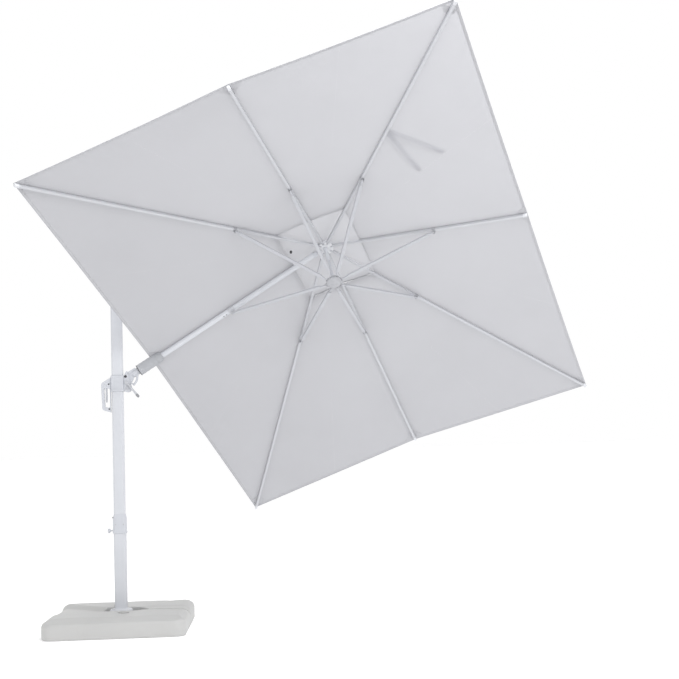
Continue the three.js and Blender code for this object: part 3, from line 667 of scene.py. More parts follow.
def wing(name, index, surface, start, grid, finish, replaces):
    """The fabric that one rib carries, from half way to the last rib to half way to the next one."""
    rib = RIBS[index]
    rows, columns = grid
    spots, normals = [], []
    for row in range(rows + 1):
        fraction = start + (1.0 - start) * (row / rows)
        for column in range(-columns, columns + 1):
            t = WING_HALF * (abs(column) / columns) ** 1.25
            sector, t = (index, t) if column >= 0 else (index - 1, 1 - t)
            spots.append(surface(sector, fraction, t))
            normal = surface_normal(surface, sector, fraction, t)
            if column == 0:
                normal = unit(normal + surface_normal(surface, index - 1, fraction, 1.0))
            normals.append(normal)
    wide = 2 * columns + 1
    corners = [row * wide + column for row in range(rows) for column in range(wide - 1)]
    faces = [(i, i + wide, i + 1 + wide, i + 1) for i in corners]
    mesh = bpy.data.meshes.new(name)
    mesh.from_pydata([tuple(CANOPY @ Vector(p)) for p in spots], [], faces)
    turn = CANOPY.to_3x3()
    mesh.normals_split_custom_set_from_vertices([tuple(turn @ Vector(n)) for n in normals])
    uv = mesh.uv_layers.new(name="grain")
    for polygon in mesh.polygons:
        column = polygon.index % (wide - 1)
        other = RIBS[(index + 1) % 8] if column >= columns else RIBS[index - 1]
        middle = unit(rib.out / rib.reach + other.out / other.reach)
        for loop in polygon.loop_indices:
            flat = spots[mesh.loops[loop].vertex_index][:2]
            uv.data[loop].uv = (float(flat @ middle), float(flat[1] * middle[0] - flat[0] * middle[1]))
    return dressed(linked(name, mesh), finish, rib.body, replaces)


def fold_with(obj, rib):
    """Gives a fabric piece a mesh of its own and works out, without using it, the place on its rib at
    FOLD_ANCHOR.
    """
    middle = CANOPY @ Vector(rib_line(rib, FOLD_ANCHOR))
    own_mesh(obj)


def ribbon(surface, path, thickness, lift, low, high):
    """A closed flat band along surface points (sector, fraction, t); low and high are its two edges beside
    them, and lift is its height over them."""
    centres = [surface(*spot) for spot in path]
    half = thickness / 2
    edge = min(half * 0.8, 0.0008)
    side = half - edge
    section = ((low, -side), (low + edge, -half), (high - edge, -half), (high, -side),
               (high, side), (high - edge, half), (low + edge, half), (low, side))
    rings = []
    for i, (centre, spot) in enumerate(zip(centres, path)):
        normal = surface_normal(surface, *spot)
        forward = unit(centres[min(i + 1, len(centres) - 1)] - centres[max(i - 1, 0)])
        sideways = unit(np.cross(normal, forward))
        base = centre + normal * lift
        rings.append([base + sideways * across + normal * up for across, up in section])
    return loft(rings)


def band(name, parts, finish, rib):
    """Cloth parts as one piece that closes with a rib, with flat coordinates in metres for the weave."""
    obj = piece(name, joined(*parts), finish, rib.body, CANOPY, sharp=50)
    uv = obj.data.uv_layers.new(name="grain")
    flat = [CANOPY.inverted() @ v.co for v in obj.data.vertices]
    for loop in obj.data.loops:
        uv.data[loop.index].uv = flat[loop.vertex_index][:2]
    fold_with(obj, rib)
    return obj


def edge_spots(index, fraction, count=40):
    """Spots along a wing's outer edge, from its start to its end."""
    places = [-0.5 + i / count for i in range(count + 1)]
    return [(index, fraction, u) if u >= 0 else (index - 1, fraction, 1 + u) for u in places]


def neighbours(index):
    return [RIBS[(index + step) % 8] for step in (-1, 1)]


def build_fabric():
    for index, rib in enumerate(RIBS):
        name = "fabric_" + rib.name
        obj = wing(name, index, main_surface, OPENING, FABRIC_GRID, FABRIC, "panel_" + rib.name)
        extras = [*hem(index, rib), seam(index, rib), tip_pocket(index, rib)]
        fold_with(obj, rib)
    for index, rib in enumerate(RIBS):
        name = "vent_" + rib.name
        # the vent's cloth is a lighter copy of the canopy cloth: painted light
        obj = wing(name, index, vent_surface, VENT_WINGS_START, VENT_GRID, LIT_VENT_FABRIC, "vent_cap")
        vent_hem(index, rib)
        fold_with(obj, rib)
    build_vent_top()


def build_vent_top():
    """The round top of the vent, from its hole at the finial to where the eight wings start."""
    rows, columns = 7, 8
    spots = []
    for row in range(rows + 1):
        share = VENT_TOP_SHARE * row / rows
        spots += [vent_surface(sector, share, i / columns) for sector in range(8) for i in range(columns)]
    wide = 8 * columns
    faces = []
    for row in range(rows):
        for i in range(wide):
            a, b = row * wide + i, row * wide + (i + 1) % wide
            faces.append((a, a + wide, b + wide, b))
    mesh = bpy.data.meshes.new("vent_top")
    mesh.from_pydata([tuple(CANOPY @ Vector(p)) for p in spots], [], faces)
    mesh.shade_smooth()
    uv = mesh.uv_layers.new(name="grain")
    for loop in mesh.loops:
        uv.data[loop.index].uv = tuple(spots[loop.vertex_index][:2])
    obj = dressed(linked("vent_top", mesh), LIT_VENT_FABRIC, "crown", "vent_cap")
    wide, long = (float(np.ptp(np.array(spots)[:, axis])) * CUT_ACROSS for axis in (0, 1))


def hem(index, rib):
    """The double fold along the outer edge, a fine welt at its rim and the fold at the opening."""
    outer = ribbon(main_surface, edge_spots(index, 0.9985), 0.0022, -0.0006, 0.0, 0.015)
    inner = ribbon(main_surface, edge_spots(index, OPENING), 0.002, 0.0, -0.008, 0.0)
    welt = ribbon(main_surface, edge_spots(index, 0.9992), 0.0036, -0.0004, -0.0016, 0.0024)
    return [band("hem_" + rib.name, [outer, inner], HEM, rib), band("welt_" + rib.name, [welt], WELT, rib)]


def vent_hem(index, rib):
    part = ribbon(vent_surface, edge_spots(index, 1.0, 24), 0.002, 0.0, 0.0, 0.008)
    return band("vent_hem_" + rib.name, [part], HEM, rib)


SEAM_STITCH = 0.0042  # a seam's stitches lie this far from its middle


def seam(index, rib):
    """The felled seam over a rib, where two panels of cloth are sewn together."""
    spots = [(index, share, 0.0) for share in np.linspace(OPENING + 0.01, 0.985, 51)]
    obj = band("seam_" + rib.name, [ribbon(main_surface, spots, 0.0014, 0.0009, -0.006, 0.006)], HEM, rib)
    for loop in obj.data.uv_layers["grain"].data:
        flat = np.array(loop.uv)
        across = abs(float(flat[1] * rib.out[0] - flat[0] * rib.out[1]))
        loop.uv = (STITCH_X + across - SEAM_STITCH, float(flat @ rib.out))
    return obj


def spot_at(x, y):
    """The sector, fraction and t of the main fabric over a place in the canopy's level plane."""
    for sector in range(8):
        a, b = RIBS[sector].tip, RIBS[(sector + 1) % 8].tip
        share_a, share_b = np.linalg.solve(np.column_stack([a, b]), (x, y))
        if share_a >= -1e-9 and share_b >= -1e-9:
            fraction = share_a + share_b
            return sector, fraction, share_b / fraction
    raise ValueError("no sector holds this place")


def patch(rows, lifts, thickness):
    """A closed flat piece of cloth over rows of places in the canopy's plane, with one lift for each row."""
    rings = []
    for row, lift in zip(rows, lifts):
        spots = [spot_at(*spot) for spot in row]
        lines = [(main_surface(*spot), surface_normal(main_surface, *spot)) for spot in spots]
        above = [point + normal * lift for point, normal in lines]
        under = [point + normal * (lift - thickness) for point, normal in lines]
        rings.append(above + under[::-1])
    return loft(rings)


def tip_pocket(index, rib):
    """The doubled patch that holds the rib's tip."""
    sides = [unit(other.tip - rib.tip) for other in neighbours(index)]
    rows = []
    for i in range(9):
        start = rib.tip * (0.996 - 0.045 * i / 8)
        reach = 0.07 * (1 - i / 8) ** 0.8 + 0.008
        left, right = (start + side * reach for side in sides)
        rows.append([left * (1 - k / 8) + right * k / 8 for k in range(9)])
    return band("pocket_" + rib.name, [patch(rows, [-0.0012] * 9, 0.0014)], HEM, rib)


STRAP_ROOT = 0.525  # share of a corner rib's reach where the closing strap is sewn
STRAP_ENDS = ((0.10, 0.40), (0.285, 0.275))  # its two ends from there, in the canopy's plane
STRAP_WIDTH = 0.036


def strap_half(start, step):
    side = np.array([-step[1], step[0]]) / np.linalg.norm(step) * STRAP_WIDTH / 2
    rows = []
    for i in range(25):
        middle = start + step * i / 24
        narrow = 1.0 if 0 < i < 24 else 0.8
        rows.append([middle + side * share for share in (-narrow, -0.5, 0.0, 0.5, narrow)])
    arch = [0.003 + 0.017 * math.sin(math.pi * i / 24) ** 0.7 for i in range(25)]
    return patch(rows, arch, 0.0016)


def closing_strap(rib):
    """The two ends of the strap that ties the closed canopy, lying spread on top of the cloth."""
    parts = [strap_half(rib.tip * STRAP_ROOT, np.array(step)) for step in STRAP_ENDS]
    band("closing_strap", parts, WEBBING, rib)


# ------------------------------------------------------------------ refined copies of CAD solids
def refined(node, finish, width):
    """A copy of a CAD solid with its flat faces merged and its edges rounded."""
    source = frame["nodes"][node]
    mesh = source.data.copy()
    build = bmesh.new()
    build.from_mesh(mesh)
    bmesh.ops.remove_doubles(build, verts=build.verts, dist=1e-5)
    bmesh.ops.dissolve_limit(build, angle_limit=math.radians(1.0), verts=build.verts, edges=build.edges)
    bmesh.ops.recalc_face_normals(build, faces=build.faces)
    build.to_mesh(mesh)
    build.free()
    obj = linked(node + "_part", mesh)
    modifier = obj.modifiers.new("round", "BEVEL")
    modifier.width = width
    modifier.segments = 2
    modifier.limit_method = "ANGLE"
    modifier.angle_limit = math.radians(35)
    modifier.harden_normals = False
    mesh = evaluated(obj)
    obj.modifiers.clear()
    obj.data = mesh
    mesh.shade_smooth()
    mesh.set_sharp_from_angle(angle=math.radians(35))
    dressed(obj, finish, source["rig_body"], node)


REFINED = (
    ("turntable_housing", WHITE_PLASTIC, 0.0015),
    ("cross_frame", STEEL_PAINT, 0.003),
    ("foot_pedal", DARK_PLASTIC, 0.002),
    ("slide_bush_lower", DARK_PLASTIC, 0.0004),
    ("slide_bush_upper", DARK_PLASTIC, 0.0004),
    ("boom_end_fork", CAST_PAINT, 0.001),
    ("crown_hub", WHITE_PLASTIC, 0.0008),
)


# ------------------------------------------------------------------ weighted base
BASE_TOP = 0.132
BASE_HALF = 0.465
BASE_CORNER = 0.07
CAP_TURN = 14  # degrees that the caps' grip bars are turned


def smoothstep(low, high, value):
    t = np.clip((value - low) / (high - low), 0, 1)
    return t * t * (3 - 2 * t)


def beside(x, y, start, end):
    """Signed distance from the line through two points, positive on its left."""
    start, end = np.asarray(start), np.asarray(end)
    along = unit(end - start)
    return (y - start[1]) * along[0] - (x - start[0]) * along[1]


def shallow_facet(x, y, start, end, depth):
    """A face that falls from a crease down to the seam at y = 0, for x beyond the well."""
    crease = start[1] + (end[1] - start[1]) * (x - start[0]) / (end[0] - start[0])
    share = np.clip(1 - y / np.where(np.abs(crease) < 1e-4, 1e-4, crease), 0, 1)
    reach = smoothstep(-0.02, 0.03, (x - start[0]) * math.copysign(1, end[0] - start[0]))
    return depth * share * reach


def edge_line(x, y):
    """The shell's height over a place: a long bevel with a crease at the flat top, and a round shoulder."""
    qx, qy = np.abs(x) - (BASE_HALF - BASE_CORNER), np.abs(y) - (BASE_HALF - BASE_CORNER)
    inside = BASE_CORNER - np.hypot(np.maximum(qx, 0), np.maximum(qy, 0)) - np.minimum(np.maximum(qx, qy), 0)
    shoulder = np.interp(inside, (0.0, 0.004, 0.011, 0.022, 0.045),
                         (0.0880, 0.0985, 0.1070, 0.1150, BASE_TOP))
    depth = np.minimum((BASE_HALF - np.abs(x)) * 1.7, BASE_HALF - np.abs(y))
    long_bevel = np.interp(depth, (0.0, 0.082, 0.084), (0.1010, 0.1316, BASE_TOP))
    return np.minimum(shoulder, long_bevel)


def rear_dip(x, y):
    """How far the rear tank's top lies below its plateau."""
    flank = beside(x, y, (-0.105, 0.108), (-0.455, 0.405))
    low = smoothstep(0.0, 0.042, flank) * smoothstep(-0.085, -0.125, x)
    dip = low * (0.027 - 0.010 * smoothstep(0.05, 0.30, flank))
    ridge = beside(x, y, (0.115, 0.10), (0.40, 0.42))
    valley = np.exp(-((ridge - 0.035) / 0.032) ** 2) - 0.45 * np.exp(-((ridge + 0.03) / 0.03) ** 2)
    fade = smoothstep(0.10, 0.16, x) * smoothstep(0.40, 0.20, x)
    near_well = smoothstep(0.07, 0.0, y - 0.05) * smoothstep(0.08, 0.14, x)
    return dip + 0.006 * valley * fade + 0.007 * near_well


def front_dip(x, y):
    dip = shallow_facet(x, y, (-0.110, -0.096), (-0.465, -0.215), 0.015) * (x < 0)
    return dip + shallow_facet(x, y, (0.135, -0.072), (0.465, -0.135), 0.013) * (x > 0)


def ripples(x, y, scale, layer):
    return np.array([mnoise.noise(Vector((a * scale, b * scale, layer))) for a, b in zip(x, y)])


def build_tank(node, dip):
    """A blow-moulded shell: the CAD solid with soft edges, sunken faces and a slightly wavy well."""
    obj = linked(node + "_shell", frame["nodes"][node].data.copy())
    remesh = obj.modifiers.new("even", "REMESH")
    remesh.mode = "VOXEL"
    remesh.voxel_size = 0.0046
    soften = obj.modifiers.new("soften", "SMOOTH")
    soften.factor = 0.5
    soften.iterations = 4
    mesh = evaluated(obj)
    obj.modifiers.clear()
    obj.data = mesh
    spots = np.array([v.co for v in mesh.vertices])
    x, y, z = spots[:, 0], spots[:, 1], spots[:, 2]
    z = np.minimum(z, edge_line(x, y))
    near = smoothstep(0.24, 0.17, np.hypot(x, y)) * smoothstep(0.05, 0.10, z)
    wave = ripples(x, y, 14, 3.0)
    spots[:, 1] += np.sign(y) * near * 0.005 * wave * smoothstep(0.02, 0.05, np.abs(y))
    spots[:, 2] = z * (1 - dip(x, y) / BASE_TOP * smoothstep(0.01, 0.12, z))
    spots[:, 2] += 0.0015 * ripples(x, y, 6, 9.0) * smoothstep(0.08, 0.12, z)
    mesh.vertices.foreach_set("co", spots.ravel())
    mesh.update()
    mesh.shade_smooth()
    dressed(obj, TANK, "base", node)


def build_cap(node, body):
    """A round screw plug: a raised ring, a sunken face and a grip bar across it."""
    low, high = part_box(node)
    centre = (low + high) / 2
    top = BASE_TOP + 0.0045
    sunk = BASE_TOP - 0.005
    ring = spun([(0, 0.118), (0.031, 0.118), (0.031, BASE_TOP - 0.001), (0.0345, BASE_TOP),
                 (0.0345, top - 0.0012), (0.0333, top), (0.0285, top), (0.0262, top - 0.0012),
                 (0.0255, BASE_TOP - 0.004), (0.0245, sunk), (0, sunk)], 56)
    grip = bar(0.0048, 0.0045, 0.0018, eased(-0.0268, 0.0268, 0.002, 0.75))
    grip = place(grip, turned(CAP_TURN) @ shift(0, 0, BASE_TOP - 0.0005))
    mark = spun([(0, 0), (0.0012, 0), (0.0012, 0.0006), (0, 0.0008)], 8)
    marks = [place(mark, turned(a) @ shift(0.031, 0, top - 0.0002)) for a in (0, 120, 240)]
    at = shift(centre.x, centre.y, 0.0)
    piece(node + "_plug", joined(ring, grip, *marks), TANK, body, at, node)


def build_turntable():
    """The disc that turns with the mast: a raised rim, a groove, a slot, four bolts and the mast's foot."""
    top = BASE_TOP
    disc = spun([(0, 0.1222), (0.0755, 0.1222), (0.0757, 0.126), (0.0725, 0.1275), (0.0718, top - 0.001),
                 (0.0706, top), (0.0668, top), (0.0655, top - 0.0012), (0.0652, top - 0.0026),
                 (0.0632, top - 0.0026), (0.0628, top - 0.0008), (0.0618, top - 0.0004),
                 (0, top - 0.0004)], 72)
    outline = rounded(0.0475, 0.0305, 0.010, 6)
    foot = loft([level_ring(outline * scale, top + rise) for scale, rise in
                 ((1.0, -0.001), (1.0, 0.003), (0.985, 0.0045), (0.93, 0.005))])
    piece("turntable_disc_plate", joined(disc, foot), WHITE_PLASTIC, "mast", replaces="turntable_disc")
    corners = np.array([(-0.009, -0.0035), (0.009, -0.0035), (0.009, 0.0035), (-0.009, 0.0035)])
    slot = loft([level_ring(corners, z) for z in (0, 0.0008)])
    piece("turntable_slot", slot, DARK_PLASTIC, "mast", shift(-0.054, -0.012, top - 0.0007))
    bolt = screw(0.0042, 0.003)
    bolts = [place(bolt, turned(a) @ shift(0.056, 0, top - 0.0006)) for a in (38, 142, 218, 322)]
    piece("turntable_bolts", joined(*bolts), STEEL, "mast")


def build_lock_bracket():
    """The tapered arm and the small box of the steel cross that show in the well's left end."""
    arm = [upright_ring(x, rounded(w, h, 0.003, 4) + (0, z)) for x, w, h, z in
           ((-0.078, 0.024, 0.011, 0.098), (-0.10, 0.020, 0.010, 0.096),
            (-0.125, 0.012, 0.008, 0.092), (-0.134, 0.010, 0.006, 0.090))]
    piece("lock_bracket", loft(arm), CAST_PAINT, "base")
    piece("lock_bracket_screw", screw(0.0055, 0.004), STEEL, "base", shift(-0.118, 0, 0.1012))
    outline = rounded(0.030, 0.014, 0.003, 4) + (0, 0.053)
    block = loft([upright_ring(x, outline) for x in (-0.172, -0.171, -0.116, -0.115)])
    piece("cross_end_box", block, STEEL_PAINT, "base")


# ------------------------------------------------------------------ mast
LOWER_TUBE = (0.1323, 0.700)  # where each tube starts and ends
UPPER_TUBE = (0.5703, 2.4495)


def column(half_x, half_y, radius, stations, steps=6):
    """A rounded rectangular column; each station is (height, growth of both half sizes)."""
    rings = []
    for height, growth in stations:
        outline = rounded(half_x + growth, half_y + growth, max(radius + growth, 0.001), steps)
        rings.append(level_ring(crowned(outline), height))
    return loft(rings)


def crowned(outline, crown=0.0018, steps=8):
    """Adds points on the two long sides of an outline and pushes them slightly outwards."""
    points = []
    for start, end in zip(outline, np.roll(outline, -1, axis=0)):
        points.append(start)
        if abs(end[0] - start[0]) > 0.015:
            points += [start + (end - start) * i / steps for i in range(1, steps)]
    points = np.array(points)
    share = np.clip(1 - (points[:, 0] / np.abs(points[:, 0]).max()) ** 2, 0, 1)
    side = np.sign(points[:, 1]) * (np.abs(points[:, 1]) > np.abs(points[:, 1]).max() * 0.7)
    points[:, 1] += crown * (share - 0.25) * side
    return points


def build_mast():
    lower = column(0.042, 0.025, 0.0135, [(z, 0) for z in LOWER_TUBE], 9)
    piece("mast_lower_tube", lower, PAINT, "mast", replaces="mast_lower")
    upper = column(0.039, 0.022, 0.0125, [(z, 0) for z in UPPER_TUBE], 9)
    piece("mast_upper_tube", upper, PAINT, "mast", replaces="mast_upper")
    stations = [(0.640, 0.0004), (0.6402, 0.0052), (0.6412, 0.0062), (0.6518, 0.0062), (0.6532, 0.0056),
                (0.655, 0.0040), (0.720, 0.0036), (0.738, 0.0030), (0.752, 0.0010), (0.764, -0.0016),
                (0.7695, -0.0022), (0.770, -0.0028)]
    sleeve = column(0.0423, 0.0253, 0.0130, stations, 9)
    piece("mast_sleeve_cast", sleeve, CAST_PAINT, "mast", replaces="mast_sleeve")
    stations = [(2.4503, 0), (2.4580, 0.0012), (2.4600, 0.0010), (2.4615, -0.001), (2.462, -0.004)]
    piece("mast_lid", column(0.040, 0.023, 0.009, stations), WHITE_PLASTIC, "mast", replaces="mast_top_cap")
    head = place(screw(0.0055, 0.0055), shift(-0.0455, 0, 0.7455) @ BACK_X)
    shank = place(cylinder(0.0028, 0, 0.006, 0.0004, 16), shift(-0.0415, 0, 0.7455) @ BACK_X)
    piece("sleeve_screw", joined(head, shank), DARK_PLASTIC, "mast")
    rivets = [place(screw(0.004, 0.0022), outward(-1, x, 0.0292, 0.700)) for x in (-0.026, 0.026)]
    piece("sleeve_rivets", joined(*rivets), STEEL, "mast")
    build_knob()


def build_knob():
    """A mushroom head with eight soft lobes on a thin spindle."""
    head = spun([(0, -0.0180), (0.009, -0.0180), (0.0125, -0.0168), (0.0152, -0.0135), (0.0160, -0.0095),
                 (0.0150, -0.0045), (0.0125, -0.0015), (0.0080, -0.0003), (0.0055, 0.001),
                 (0.0050, 0.004), (0.0048, 0.0139), (0, 0.014)], 64)
    head = lobed(head, lambda r, t, z: 1 + (0.055 * np.cos(8 * t) - 0.04) * smoothstep(0.010, 0.015, r))
    at = shift(*joint_point("knob_turn")) @ ALONG_X
    piece("sleeve_knob_head", head, CAST_PAINT, "knob", at, "sleeve_knob")


# ------------------------------------------------------------------ carriage
CARRIAGE_FACE = 0.0459  # the carriage's side faces, from the mast's axis


def curve_points(*parts):
    """A closed outline from corners and ("q", control, end) curves."""
    points = []
    for part in parts:
        if part[0] != "q":
            points.append(part)
            continue
        curve = (points[-1], part[1], part[2])
        for t in (i / 8 for i in range(1, 9)):
            weights = ((1 - t) ** 2, 2 * t * (1 - t), t * t)
            points.append(tuple(sum(w * p[axis] for w, p in zip(weights, curve)) for axis in (0, 1)))
    return points


def on_left_face(*parts):
    """An outline drawn outwards from the carriage's left face."""
    return [(-CARRIAGE_FACE - x, z) for x, z in curve_points(*parts)][::-1]


def build_carriage():
    stations = [(1.602, -0.0012), (1.6026, 0.0002), (1.604, 0.0010), (1.613, 0.0010), (1.6145, 0.0),
                (1.6995, 0.0), (1.701, 0.0010), (1.7095, 0.0010), (1.7114, 0.0002), (1.712, -0.0012)]
    body = column(0.0452, 0.0282, 0.0115, stations, 8)
    piece("carriage_cast", body, CAST_PAINT, "carriage", replaces="carriage")
    for node, low in (("slide_bush_lower", 1.6007), ("slide_bush_upper", 1.7118)):
        lip = column(0.0405, 0.0235, 0.009, [(low, -0.0004), (low + 0.0015, 0.0)])
        piece(node + "_lip", lip, GREY_LIGHT, "carriage", replaces=node)
    build_handle()
    build_trigger()
    build_hinge_cheeks()
    build_lever()


def build_handle():
    outside = on_left_face((0.0, 1.700), (0.0, 1.460), (0.046, 1.4735),
                           ("q", (0.058, 1.478), (0.0592, 1.492)), (0.0655, 1.646),
                           ("q", (0.0662, 1.662), (0.055, 1.6685)))
    opening = on_left_face((0.006, 1.608), ("q", (0.006, 1.624), (0.018, 1.6245)), (0.033, 1.628),
                           ("q", (0.0465, 1.629), (0.0458, 1.614)), (0.0392, 1.506),
                           ("q", (0.038, 1.497), (0.029, 1.496)), (0.018, 1.495),
                           ("q", (0.006, 1.494), (0.006, 1.506)))
    plate("grip_handle_cast", [outside, opening], 0.0300, 0.0028, CAST_PAINT, "carriage",
          replaces="grip_handle", steps=4)
    web = on_left_face((0.012, 1.672), (0.012, 1.640), (0.046, 1.640), ("q", (0.053, 1.640), (0.052, 1.652)),
                       ("q", (0.050, 1.660), (0.040, 1.664)))
    plate("grip_handle_web", [web], 0.0308, 0.0010, CAST_PAINT, "carriage")
    head = screw(0.0052, 0.0034)
    top, bottom = (on_both_sides(head, x, 0.0150, z) for x, z in ((-0.0585, 1.655), (-0.0570, 1.484)))
    piece("handle_screws", joined(*top, *bottom), DARK_PLASTIC, "carriage")


def build_trigger():
    """The squeeze lever, and the two ears under the loop's top that hold its pin between them."""
    x, _, z = (float(value) for value in joint_point("trigger_squeeze"))
    blade = curve_points((-0.005, 0.002), ("q", (-0.0105, -0.045), (-0.006, -0.083)),
                         ("q", (-0.002, -0.0885), (0.003, -0.085)), ("q", (0.0065, -0.045), (0.004, 0.002)),
                         ("q", (0.0, 0.005), (-0.005, 0.002)))
    blade = [(x - across, z + up) for across, up in blade][::-1]
    plate("release_trigger_blade", [blade], 0.0160, 0.0026, GREY_PLASTIC, "trigger",
          replaces="release_trigger", steps=3)
    radius, thickness, middle, top = 0.0062, 0.0028, 0.0102, 1.634
    outline = arc(x, z, radius, 180, 360, 10) + [(x + radius, top), (x - radius, top)]
    for name, side in SIDES:
        at = shift(y=side * middle)
        plate("trigger_ear_" + name, [outline], thickness, 0.0008, CAST_PAINT, "carriage", at)
    pins = on_both_sides(screw(0.0034, 0.0014), x, middle + thickness / 2, z)
    piece("trigger_pin_heads", joined(*pins), STEEL, "carriage")


def build_hinge_cheeks():
    pivot_x, pivot_z = 0.057, 1.704
    boss_x, boss_z = 0.069, 1.624
    outline = [(CARRIAGE_FACE, 1.7105), (CARRIAGE_FACE, 1.604), (0.056, 1.598)]
    outline += arc(boss_x, boss_z, 0.028, -110, 34, 16)
    outline += arc(pivot_x, pivot_z, 0.0215, 17, 50, 6) + arc(pivot_x, pivot_z, 0.0300, 66, 92, 6)
    for name, side in SIDES:
        node, at = "cheek_" + name, shift(y=side * 0.018)
        plate(node + "_plate", [outline], 0.0060, 0.0011, CAST_PAINT, "carriage", at, node, 3)
    ring = spun([(0.0115, 0), (0.0165, 0), (0.0160, 0.0012), (0.0120, 0.0012), (0.0115, 0)], 36)
    boss = spun([(0, 0), (0.0085, 0), (0.0080, 0.0022), (0.0050, 0.0032), (0, 0.0034)], 28)
    bosses = on_both_sides(joined(ring, boss), boss_x, 0.0209, boss_z)
    piece("cheek_bosses", joined(*bosses), GREY_PLASTIC, "carriage")
    head = spun([(0, 0), (0.0090, 0), (0.0092, 0.0018), (0.0080, 0.0034), (0.0050, 0.0042), (0.0030, 0.0042),
                 (0.0026, 0.0030), (0, 0.0028)], 28)
    heads = on_both_sides(head, pivot_x, 0.0210, pivot_z)
    shaft = place(cylinder(0.0044, -0.0212, 0.0212, 0.0006, 20), shift(pivot_x, 0, pivot_z) @ ALONG_Y)
    finish = DARK_PLASTIC._replace(slot="steel")
    piece("pivot_pin_rivet", joined(shaft, *heads), finish, "carriage", replaces="pivot_pin")


def build_lever():
    """A slim handle: a boss at its hinge, a tapering shaft and a dark rounded tip."""
    angle = math.radians(51)
    along = np.array([math.cos(angle), 0, -math.sin(angle)])
    at = matrix(joint_point("lever_turn"), along, (0, 1, 0), np.cross(along, (0, 1, 0)))
    boss = spun([(0, 0.0004), (0.0105, 0.0004), (0.0118, 0.0016), (0.0118, 0.0105), (0.0105, 0.0118),
                 (0, 0.0118)], 32)
    rings = []
    for x, y, z, middle in ((0.004, 0.0058, 0.0066, 0.004), (0.020, 0.0052, 0.0062, 0.003),
                            (0.050, 0.0056, 0.0068, 0.002), (0.080, 0.0066, 0.0078, 0.0016),
                            (0.100, 0.0072, 0.0086, 0.0012), (0.104, 0.0072, 0.0086, 0.001)):
        rings.append(upright_ring(x, rounded(y, z, min(y, z) * 0.98, 6) + (middle, 0)))
    shaft = joined(place(boss, ALONG_Y), loft(rings))
    piece("lock_lever_shaft", shaft, GREY_LIGHT, "lever", at, "lock_lever")
    tip = spun([(0, 0.1030), (0.0085, 0.1030), (0.0094, 0.1060), (0.0098, 0.1130), (0.0092, 0.1220),
                (0.0070, 0.1275), (0.0035, 0.1296), (0, 0.1300)], 24)
    tip = (tip[0] * np.array([1.0, 0.86, 1.0]), tip[1])
    piece("lock_lever_tip", tip, TIP_GREY, "lever", at @ shift(0, 0.001, 0) @ ALONG_X)


# ------------------------------------------------------------------ boom
def build_knuckle():
    """The quadrant on the hinge, with its curved slot, and the socket that holds the boom."""
    pivot = (SWIVEL[0], SWIVEL[2])
    sector = arc(*pivot, 0.0850, -50, 44, 26)
    sector += arc(*pivot, 0.0370, 62, 84, 6) + arc(*pivot, 0.0140, 110, 240, 10)
    bore = arc(*pivot, 0.0049, 0, 345, 23)
    slot = arc(*pivot, 0.0720, -44, 6, 14) + arc(*pivot, 0.0555, 6, -44, 14)
    plate("boom_knuckle_quadrant", [sector, bore, slot], 0.0270, 0.0028, CAST_PAINT, "knuckle",
          replaces="boom_knuckle", steps=4)
    rim = arc(*pivot, 0.0842, -48, 30, 20) + arc(*pivot, 0.0768, 30, -48, 20)
    plate("quadrant_rim", [rim], 0.0284, 0.0008, CAST_PAINT, "knuckle")
    socket = spun([(0, 0.006), (0.0195, 0.006), (0.0225, 0.009), (0.0238, 0.014), (0.0240, 0.040),
                   (0.0225, 0.0425), (0.0240, 0.045), (0.0240, 0.0575), (0.0225, 0.0595), (0, 0.0595)], 48)
    piece("boom_socket", socket, CAST_PAINT, "knuckle", KNUCKLE @ ALONG_X)
    bolts = on_both_sides(screw(0.0048, 0.0032), 0.104, 0.0134, 1.7165)
    piece("quadrant_screws", joined(*bolts), DARK_PLASTIC, "knuckle")


def build_boom():
    tube = spun([(0, 0.062), (BOOM_RADIUS, 0.062), (BOOM_RADIUS, 1.507), (0, 1.507)], 56)
    piece("boom_tube_bar", tube, PAINT, "boom", BOOM @ ALONG_X, "boom_tube")
    build_grip()
    build_end_clamp()
    build_strut_bracket()


def build_grip():
    """The fat turning grip: a ribbed sleeve between two smooth collars, closed by a tapered nose."""
    profile = [(0, 0.0600), (0.0300, 0.0600), (0.0345, 0.0612), (0.0378, 0.0640), (0.0392, 0.0680),
               (0.0392, 0.0760), (0.0372, 0.0785)]
    profile += [(0.0385 + 0.0006 * math.sin(i * math.pi / 4), 0.080 + 0.124 * i / 32) for i in range(33)]
    profile += [(0.0372, 0.2060), (0.0390, 0.2080), (0.0392, 0.2160), (0.0375, 0.2200), (0.0325, 0.2400),
                (0.0300, 0.2475), (0.0270, 0.2500), (0, 0.2500)]

    def flute(radius, angle, height):
        inside = smoothstep(0.079, 0.083, height) * smoothstep(0.205, 0.201, height)
        return 1 - 0.045 * inside * (0.5 + 0.5 * np.cos(24 * angle)) ** 2

    sleeve = lobed(spun(profile, 96), flute)
    piece("tilt_grip_sleeve", sleeve, GRIP_PLASTIC, "boom", BOOM @ ALONG_X, "tilt_grip")
    ring = spun([(0.030, 0.0585), (0.0400, 0.0600), (0.0400, 0.0628), (0.030, 0.0640), (0.030, 0.0585)], 64)
    piece("tilt_grip_ring", ring, DARK_GREY, "boom", BOOM @ ALONG_X)


def build_end_clamp():
    """The casting on the boom's end and the bolts that hold it."""
    collar = spun([(0, 1.500), (0.0212, 1.500), (0.0216, 1.502), (0.0216, 1.526), (0.0208, 1.528),
                   (0.0150, 1.533), (0, 1.533)], 48)
    piece("boom_end_collar", collar, CAST_PAINT, "boom", BOOM @ ALONG_X)
    bolt = spun([(0, 0), (0.0045, 0), (0.0042, 0.002), (0.0020, 0.0028), (0, 0.0030)], 20)
    bolts = [place(bolt, BOOM @ shift(1.514, 0, 0) @ turned(a, "X") @ shift(0, 0, 0.0212)) for a in (90, 270)]
    piece("boom_end_bolts", joined(*bolts), STEEL, "boom")


